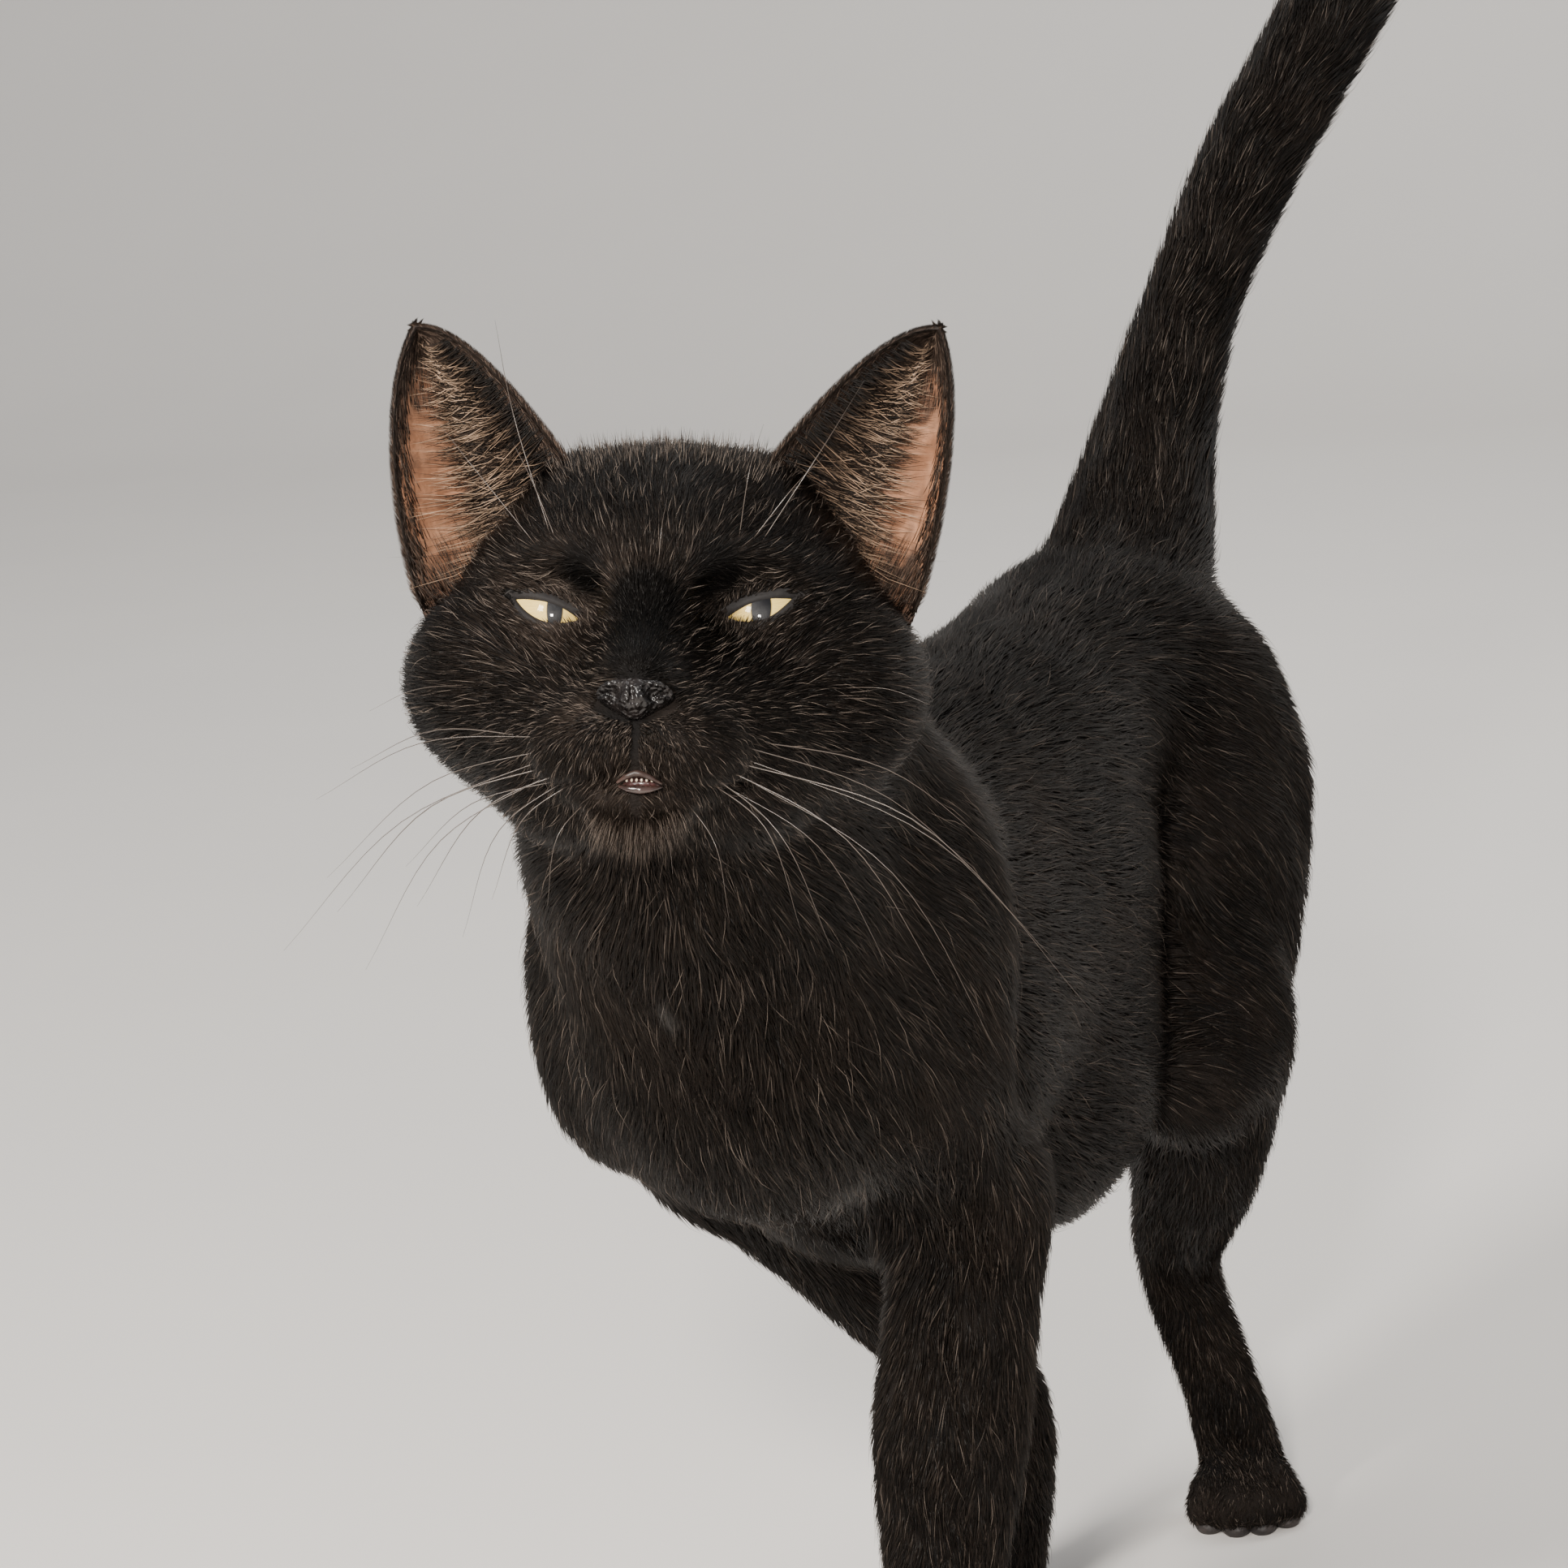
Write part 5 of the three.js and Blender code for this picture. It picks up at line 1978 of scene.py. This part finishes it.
@dataclass
class Coat:
    """Short tufts all over the skin, thin, overlapping and lying along the body."""

    skin: Object
    sink: float = 0.5
    stray: float = 7.0
    waves: tuple[tuple[float, Triple, float], ...] = (
        (9, (0.21, 0.13, 0.17), 0.0), (7, (-0.11, 0.35, -0.29), 1.0),
    )
    tuft_lengths: Range = (0.65, 1.25)
    tuft_widths: Range = (0.75, 1.25)
    tuft_rises: Range = (0.55, 1.12)
    hair_lengths: Range = (1.1, 1.7)
    hair_widths: Range = (0.11, 0.17)
    fringe_widths: Range = (0.11, 0.19)
    finish: CoatFinish = CoatFinish()
    # Mostly pale single hairs: partly lighter hairs, partly painted glints along the hair.
    hair_finish: CoatFinish = CoatFinish(
        "single_hairs", tip=(0.03, 0.023, 0.019, 1), pale=(0.15, 0.120, 0.098, 1),
        pale_share=0.7, roughness=0.36,
    )
    bare_lid: float = 0.6
    bare_sole: float = 2.0
    bare_nose: Triple = (-0.4, 3.0, -0.3)
    bare_furrow: Range = (-36.0, -25.0)
    furrow_half_width: float = 0.3
    face_end: float = 16.0
    neck_end: float = 5.0
    foot_length: float = 4.0
    leg_growth: float = 6.0
    trunk_length: float = 10.5
    random: np.random.Generator = field(default_factory=lambda: np.random.default_rng(SEED))

    def locks(self) -> list[Lock]:
        """The parts of the coat."""

        def part(region: Region, where: Callable[[Array], Array] | None = None) -> Belongs:
            """Roots in a region, or only those of them at whose places where is true."""
            return lambda roots, own: (
                (own == region.value) & (where(roots.places) if where else True)
            )

        def in_face(places: Array) -> Array:
            """Whether places are on the front of the head."""
            return to_head(places)[:, 1] < self.face_end

        def in_neck(places: Array) -> Array:
            """Whether places are on the neck and breast."""
            return places[:, 1] < self.neck_end

        def beside(side: int) -> Callable[[Array], Array]:
            """Whether places are on one side of the trunk."""
            return lambda places: ~in_neck(places) & (side * places[:, 0] > 0)

        head, torso, tail = Region.HEAD, Region.TORSO, Region.TAIL
        round_torso = unwrap_round(TORSO_AXIS)
        round_tail = unwrap_round([joint[0] for joint in TAIL_JOINTS])
        found = [
            Lock("coat_face", 47000, part(head, in_face), unwrap_head, 14),
            Lock("coat_crown", 37000, part(head, lambda p: ~in_face(p)), unwrap_head, 25),
            Lock("coat_neck", 35000, part(torso, in_neck), round_torso, 30),
            Lock("coat_trunk_left", 32000, part(torso, beside(1)), round_torso, 30),
            Lock("coat_trunk_right", 32000, part(torso, beside(-1)), round_torso, 30),
            Lock("coat_tail", 20500, part(tail), round_tail),
        ]
        for region, leg in LEGS.items():
            around = unwrap_round([*(joint[0] for joint in leg.joints), leg.ball])
            count = 23000 if "fore" in region.value else 25000
            found.append(Lock(f"coat_{region.value}", count, part(region), around))
        return found

    def surface(self) -> tuple[Array, Array, Array]:
        """The skin's triangles: their corners, the directions out at them, and their areas."""
        mesh = self.skin.data
        mesh.calc_loop_triangles()

        def threes(items: bpy.types.bpy_prop_collection, key: str, kind: type) -> Array:
            """Three numbers of each item."""
            found = np.zeros(len(items) * 3, kind)
            items.foreach_get(key, found)
            return found.reshape(-1, 3)

        corners = threes(mesh.loop_triangles, "vertices", np.int32)
        points = to_design(threes(mesh.vertices, "co", float))[corners]
        outward = threes(mesh.vertices, "normal", float)[corners]
        edges = points[:, 1] - points[:, 0], points[:, 2] - points[:, 0]
        return points, outward, np.linalg.norm(np.cross(*edges), axis=1)

    def length(self, points: Array) -> Array:
        """Length of the hair.

        Args:
            points: Places of the design.

        Returns:
            The length at each, in millimetres.
        """
        alone = ANATOMY.survey(points)[1]
        local = to_head(points)
        on_head = smooth_step(alone[Region.HEAD], 6, 0)
        from_nose = np.linalg.norm(local - np.array(MUZZLE_FRONT), axis=1)
        facial = np.clip(1.5 + 0.085 * from_nose, 2.2, 9.5)
        for side in SIDES:
            lid = -LIDS.inside(LIDS.flatten(local, side))
            facial *= 0.45 + 0.55 * smooth_step(lid, 1, 9)
        on_leg = self.foot_length + self.leg_growth * np.clip(points[:, 2] / 150, 0, 1)
        legs = np.min([alone[region] for region in LEGS], axis=0)
        body = on_leg + (self.trunk_length - on_leg) * smooth_step(legs, -2, 6)
        return body + (facial - body) * on_head

    def sow(self, lock: Lock, points: Array, outward: Array, area: Array, own: Array) -> Roots:
        """Roots of one part of the coat, thicker where the hair is short.

        Args:
            lock: The part of the coat.
            points: Corners of the skin's triangles.
            outward: Directions straight out at the corners.
            area: Area of each triangle.
            own: Name of each triangle's region.

        Returns:
            The roots.
        """
        middles = Roots(points.mean(axis=1), outward.mean(axis=1))
        chosen = np.flatnonzero(lock.belongs(middles, own))
        length = self.length(middles.places[chosen])
        weight = area[chosen] / (length * self.width(length))
        picked = self.random.choice(chosen, lock.count, p=weight / weight.sum())
        shares = self.random.dirichlet((1, 1, 1), lock.count)
        places = (points[picked] * shares[:, :, None]).sum(axis=1)
        ways = unit((outward[picked] * shares[:, :, None]).sum(axis=1))
        return Roots(places, ways)

    def width(self, length: Array) -> Array:
        """Width of tufts at their root, from their length."""
        return 0.26 + 0.034 * length

    def keep(self, roots: Roots) -> Array:
        """Finds the roots that lie where hair grows: not on lid rims, nose, lips and soles.

        Args:
            roots: The roots that were sown.

        Returns:
            Whether each is kept.
        """
        local = to_head(roots.places)
        kept = roots.places[:, 2] > self.bare_sole
        for side in SIDES:
            flat = LIDS.flatten(local, side)
            kept &= ~((LIDS.inside(flat) > -self.bare_lid) & (local[:, 1] < EYE_DEPTH))
        nose = Nose()
        offset = (local - np.array(nose.middle)) @ turn_about(X, nose.tilt)
        half_sizes = np.array([nose.width, nose.depth, nose.height]) / 2
        reach = offset / (half_sizes + np.array(self.bare_nose))
        kept &= ~((np.linalg.norm(reach, axis=1) < 1) & (offset[:, 1] < 2))
        low, high = self.bare_furrow
        below_nose = (local[:, 2] < high) & (local[:, 2] > low) & (local[:, 1] < -20)
        in_furrow = np.abs(local[:, 0] - MUZZLE_MIDLINE) < self.furrow_half_width
        kept &= ~(below_nose & in_furrow)
        start, end = Head().mouth[:2]
        return kept & (Bone(start, end, 2.4, 1.8).distance(folded(local)) > 0)

    def swayed(self, roots: Roots, lie: Array, bend: Array) -> Array:
        """The lie of the hair, turned along the skin by angles in radians."""
        sideways = np.cross(lie, roots.outward)
        return lie * np.cos(bend)[:, None] + sideways * np.sin(bend)[:, None]

    def tufts(self, lock: Lock, roots: Roots, lie: Array) -> Strands:
        """The tufts of one part of the coat.

        Args:
            lock: The part of the coat.
            roots: Where the tufts grow.
            lie: Which way each tuft points.

        Returns:
            The tufts.
        """
        count = len(roots.places)
        length = self.length(roots.places) * self.random.uniform(*self.tuft_lengths, count)
        width = self.width(length) * self.random.uniform(*self.tuft_widths, count)
        bend = np.radians(self.random.normal(0, self.stray, count))
        for turn, wave, start in self.waves:
            bend += np.radians(turn) * np.sin(roots.places @ np.array(wave) + start)
        way = self.swayed(roots, lie, bend)
        depth = coat_depth(roots.places)
        rise = depth * self.random.uniform(*self.tuft_rises, count)
        tip, _ = ANATOMY.settle(roots.places + way * length[:, None], rise - depth, 2)
        base = roots.places - roots.outward * self.sink
        return Strands(np.stack([base, tip], axis=1), roots.outward, width,
                       self.random.random(count), lock.unwrap(roots.places))

    def stray_hairs(self, lock: Lock, roots: Roots, lie: Array) -> Strands:
        """Single longer hairs of one part of the coat, which lie over the tufts.

        Args:
            lock: The part of the coat.
            roots: Where the hairs grow.
            lie: Which way each hair points.

        Returns:
            The hairs.
        """
        count = len(roots.places)
        length = self.length(roots.places) * self.random.uniform(*self.hair_lengths, count)
        bend = np.radians(self.random.normal(0, 2 * self.stray, count))
        half = self.swayed(roots, lie, bend) * (0.5 * length)[:, None]
        middle, _ = ANATOMY.settle(roots.places + half, np.full(count, 0.1), 2)
        tip, _ = ANATOMY.settle(middle + half, 0.35 * coat_depth(roots.places), 2)
        base = roots.places - roots.outward * self.sink
        width = self.random.uniform(*self.hair_widths, count)
        return Strands(np.stack([base, middle, tip], axis=1), roots.outward, width,
                       self.random.random(count), lock.unwrap(roots.places))

    def fringe(self, name: str, low: Triple, high: Triple, way: Triple, longest: float,
               count: int, material: Material) -> Object:
        """Single hairs that stand off the coat of the head.

        Args:
            name: Name of the piece.
            low: Least corner of the box that holds their roots, in the head's axes.
            high: Greatest corner of the box.
            way: Which way they point, in the head's axes.
            longest: Length of the longest, in millimetres.
            count: How many there are.
            material: What they are made of.

        Returns:
            The piece.
        """
        local = self.random.uniform(low, high, (count, 3))
        places, outward = ANATOMY.settle(from_head(local), -coat_depth(from_head(local)), 4)
        ways = np.array(way) + self.random.normal(0, 0.16, (count, 3))
        ways[:, 0] += local[:, 0] * 0.015
        ways = unit(ways @ HEAD_TURN.T + 0.4 * outward)
        length = self.random.uniform(0.5 * longest, longest, count)[:, None]
        middle = places + (ways * 0.8 + outward * 0.2) * 0.5 * length
        tip = middle + ways * 0.5 * length
        paths = np.stack([places - outward * self.sink, middle, tip], axis=1)
        hairs = Strands(paths, outward, self.random.uniform(*self.fringe_widths, count),
                        self.random.random(count), unwrap_head(places))
        return hairs.piece(name, material)

    def build(self) -> list[Object]:
        """Makes all parts of the coat."""
        points, outward, area = self.surface()
        middles = points.mean(axis=1)
        alone = ANATOMY.survey(middles)[1]
        names = np.array([region.value for region in Region])
        own = names[np.argmin([alone[region] for region in Region], axis=0)]
        lie = LieOfCoat()
        material = self.finish.build()
        hair_material = self.hair_finish.build()
        pieces = []
        for lock in self.locks():
            roots = self.sow(lock, points, outward, area, own)
            roots = roots.picked(self.keep(roots))
            ways = lie.along(roots)
            pieces.append(self.tufts(lock, roots, ways).piece(lock.name, material))
            some = np.arange(0, len(roots.places), lock.tufts_per_hair)
            hairs = self.stray_hairs(lock, roots.picked(some), ways[some])
            pieces.append(hairs.piece(lock.name.replace("coat", "hairs"), hair_material))
            log.info("%s: %d tufts", lock.name, len(roots.places))
        fringes = (
            ("hairs_chin", (-11, -24, -49), (12, -13, -43), (0, -0.35, -1), 8.5, 640),
            ("hairs_forehead", (-24, -3, 30), (24, 26, 36), (0, -0.15, 1), 5.4, 900),
        )
        return pieces + [self.fringe(*fringe, hair_material) for fringe in fringes]


@dataclass
class EarCoat:
    """Short dark hair on an ear's back, rims and inner edge, and long hairs across its hollow."""

    ear: Ear
    back: int = 7500
    rims: int = 2600
    front: int = 13500
    across: int = 1700
    finish: CoatFinish = CoatFinish("ear_coat", pale_share=0.05)
    thin_finish: CoatFinish = CoatFinish(
        "ear_front_coat", (0.008, 0.0054, 0.0042, 1), (0.038, 0.025, 0.0185, 1),
        pale=(0.125, 0.088, 0.066, 1), pale_share=0.3,
    )
    random: np.random.Generator = field(default_factory=lambda: np.random.default_rng(SEED + 1))

    def spot(self, across: Array, up: Array, height: Array) -> Array:
        """Places of the design over the leaf.

        Args:
            across: 0 on the inner rim and 1 on the outer one.
            up: 0 at the root and 1 at the tip.
            height: How far out of the hollow side, negative behind the leaf.

        Returns:
            The places.
        """
        local = self.ear.leaf(across, up) + self.ear.facing(across, up) * height[:, None]
        return from_head(self.ear.mirrored(local))

    def grow(self, start: tuple[Array, Array, Array], end: tuple[Array, Array, Array],
             widths: Array, bow: float = 0.0) -> Strands:
        """Hairs from one set of spots to another.

        Args:
            start: Across, up and height of the roots.
            end: Across, up and height of the tips.
            widths: Widths of the hairs.
            bow: How far the middle of each stands over the straight line.

        Returns:
            The hairs.
        """
        shares = (0.0, 0.35, 0.7, 1.0) if bow else (0.0, 1.0)
        points = []
        for share in shares:
            across, up, height = (a + (b - a) * share for a, b in zip(start, end))
            points.append(self.spot(across, up, height + bow * math.sin(math.pi * share)))
        behind = np.sign(start[2] + 1e-6)
        out = self.ear.facing(start[0], start[1]) * behind[:, None]
        outward = self.ear.mirrored(out) @ HEAD_TURN.T
        count = len(widths)
        unwrapped = np.stack([0.02 + 0.96 * start[0], 0.02 + 0.96 * start[1]], axis=1)
        return Strands(np.stack(points, axis=1), outward, widths, self.random.random(count),
                       np.clip(unwrapped, 0, 1))

    def short(self, across: Array, up: Array, face: int, length: Array) -> Strands:
        """Short hairs that lie towards the tip and spread towards the rims.

        Args:
            across: Where they grow, 0 on the inner rim and 1 on the outer one.
            up: Where they grow, 0 at the root and 1 at the tip.
            face: 1 for the hollow side and -1 for the back.
            length: How long they are, in millimetres.

        Returns:
            The hairs.
        """
        count = len(across)
        rise = self.random.uniform(0.2, 0.6, count) * face
        spread = (across - 0.5) * 0.10 + self.random.normal(0, 0.02, count)
        height = np.full(count, 0.3 * face)
        reach = length / EAR_HEIGHT
        end = (np.clip(across + spread, -0.02, 1.02), np.minimum(up + reach, 1.06), height + rise)
        thinnest, widest = (0.26, 0.44) if face < 0 else (0.15, 0.3)
        width = self.random.uniform(thinnest, widest, count)
        return self.grow((across, up, height), end, width)

    def build(self) -> list[Object]:
        """Makes the ear's hair."""
        name = self.ear.name
        draw = self.random.uniform
        material, thin = self.finish.build(), self.thin_finish.build()
        back = self.short(draw(0, 1, self.back), draw(0.02, 0.98, self.back), -1,
                          draw(2.4, 4.6, self.back))
        side = self.random.integers(0, 2, self.rims)
        edge = np.abs(side - np.abs(self.random.normal(0, 0.010, self.rims)))
        rims = self.short(edge, draw(0.05, 0.99, self.rims), 1, draw(1.8, 4.0, self.rims))
        across, up = draw(0, 1, self.front), draw(0.02, 0.98, self.front)
        dark = np.maximum(smooth_step(across, 0.40, 0.10), 0.8 * smooth_step(up, 0.55, 0.9))
        dark = np.maximum(dark, smooth_step(up + 0.1 * across, 0.26, 0.12))
        dark = np.maximum(dark, 0.6 * smooth_step(across, 0.86, 0.97))
        taken = draw(0, 1, self.front) < dark
        front = self.short(across[taken], up[taken], 1, draw(2.5, 6.0, taken.sum()))
        roots_across, roots_up = draw(0.0, 0.34, self.across), draw(0.04, 0.78, self.across)
        sweep = draw(0.25, 0.78, self.across) * (1 - 0.3 * roots_up)
        lift = draw(0.02, 0.18, self.across)
        flat = np.full(self.across, 0.4)
        over = flat + draw(0, 2.0, self.across)
        end = (roots_across + sweep, np.minimum(roots_up + lift, 0.97), over)
        long = self.grow((roots_across, roots_up, flat), end, draw(0.13, 0.26, self.across), 1.5)
        long_finish = CoatFinish(f"ear_long_hair_{name}", tip=(0.05, 0.032, 0.023, 1),
                                 pale=(0.34, 0.235, 0.16, 1), pale_share=0.5)
        return [
            back.piece(f"ear_back_coat_{name}", material),
            rims.piece(f"ear_rim_coat_{name}", thin),
            front.piece(f"ear_front_coat_{name}", thin),
            long.piece(f"ear_long_hairs_{name}", long_finish.build()),
        ]


# ---- Studio ----


CHEST = (0.0, -0.12, 0.22)


@dataclass(frozen=True)
class Lamp:
    """A square soft light, with its places and size in metres and its power in watts."""

    name: str
    where: Triple
    towards: Triple
    size: float
    power: float
    colour: Triple

    def build(self) -> Object:
        """Makes the light."""
        data = bpy.data.lights.new(self.name, "AREA")
        data.shape = "SQUARE"
        data.size = self.size
        data.energy = self.power
        data.color = self.colour
        lamp = add_object(self.name, data)
        lamp.location = self.where
        ahead = Vector(self.towards) - Vector(self.where)
        lamp.rotation_euler = ahead.to_track_quat("-Z", "Y").to_euler()
        return lamp


@dataclass
class Studio:
    """Pale floor, soft lights and the camera."""

    camera_place: Triple = (362.0, -943.6, 412.0)
    azimuth: float = 21.0
    pitch: float = 10.0
    roll: float = 5.0
    focal_pixels: float = 6200.0
    image_pixels: float = 1932.0
    floor_size: float = 5.0
    floor_width: float = 9.0
    wall_height: float = 3.0
    bend_radius: float = 0.9
    floor_colour: Colour = (0.70, 0.675, 0.645, 1)
    air_colour: Colour = (0.86, 0.87, 0.9, 1)
    air_strength: float = 0.5
    lamps: tuple[Lamp, ...] = (
        Lamp("key", (-0.45, -1.45, 1.25), CHEST, 0.4, 52.0, (1.0, 0.95, 0.89)),
        Lamp("front", (0.3, -1.35, 0.72), CHEST, 0.13, 34.0, (1.0, 0.94, 0.87)),
        Lamp("fill", (1.5, -0.9, 0.8), CHEST, 1.2, 1.5, (0.93, 0.96, 1.0)),
        Lamp("rim", (0.6, 1.2, 1.4), (0.0, 0.0, 0.25), 0.8, 9.0, (1.0, 0.98, 0.95)),
        Lamp("backdrop", (0.0, 0.9, 2.6), (0.0, 2.6, 1.4), 1.2, 50.0, (1.0, 0.99, 0.97)),
    )

    def camera(self) -> Object:
        """Makes the camera and lets the scene use it."""
        data = bpy.data.cameras.new("camera")
        data.sensor_width = 36.0
        data.lens = data.sensor_width * self.focal_pixels / self.image_pixels
        data.clip_end = 200.0
        camera = add_object("camera", data)
        turn, pitch, roll = (math.radians(a) for a in (self.azimuth, self.pitch, self.roll))
        ahead = Vector((-math.sin(turn) * math.cos(pitch), math.cos(turn) * math.cos(pitch),
                        -math.sin(pitch)))
        level = Vector((math.cos(turn), math.sin(turn), 0))
        upward = level.cross(ahead)
        right = level * math.cos(roll) - upward * math.sin(roll)
        over = right.cross(ahead)
        matrix = Matrix((right, over, -ahead)).transposed().to_4x4()
        matrix.translation = Vector(to_metres(np.array(self.camera_place)))
        camera.matrix_world = matrix
        bpy.context.scene.camera = camera
        return camera

    def build(self) -> None:
        """Makes the floor with the wall behind, the lights and the camera."""
        straight, bend = self.floor_size, self.bend_radius * math.pi / 2
        total = straight + bend + self.wall_height

        def sweep(across: Array, along: Array) -> Array:
            """Carries a flat sheet to the floor, up a round bend and up the wall."""
            run = along * total
            angle = np.clip((run - straight) / self.bend_radius, 0, math.pi / 2)
            y = np.minimum(run, straight) + self.bend_radius * np.sin(angle) - self.floor_size / 2
            z = self.bend_radius * (1 - np.cos(angle)) + np.maximum(run - straight - bend, 0)
            return np.stack([(across - 0.5) * self.floor_width, y, z], axis=1)

        floor = add_object("floor", mesh_of("floor", woven(2, 120, sweep)))
        dress(floor, MottledFinish("studio_floor", self.floor_colour, 0.95, 6.0, 0.7).build())
        smooth(floor)
        world = bpy.data.worlds.new("studio")
        world.use_nodes = True
        background = world.node_tree.nodes["Background"]
        background.inputs["Color"].default_value = self.air_colour
        background.inputs["Strength"].default_value = self.air_strength
        bpy.context.scene.world = world
        for lamp in self.lamps:
            lamp.build()
        self.camera()


# ---- The whole cat ----


def main() -> None:
    """Builds the cat and the studio round it."""
    logging.basicConfig(level=logging.INFO, format="%(relativeCreated)8.0f ms %(message)s")
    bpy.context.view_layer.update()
    skin = Skin().build()
    log.info("skin: %d faces", len(skin.data.polygons))
    for eye in (Eye(1, 3.1, 4.5, 1.9), Eye(-1, 6.7, 1.0, 1.5)):
        eye.ball()
        eye.lids()
        ear = Ear(eye.side)
        ear.build()
        EarCoat(ear).build()
    log.info("eyes and ears")
    Nose().build()
    Mouth().build()
    Pads().build()
    Whiskers().build()
    log.info("nose, mouth, pads and whiskers")
    Coat(skin).build()
    Studio().build()
    log.info("done")


if __name__ == "__main__":
    main()
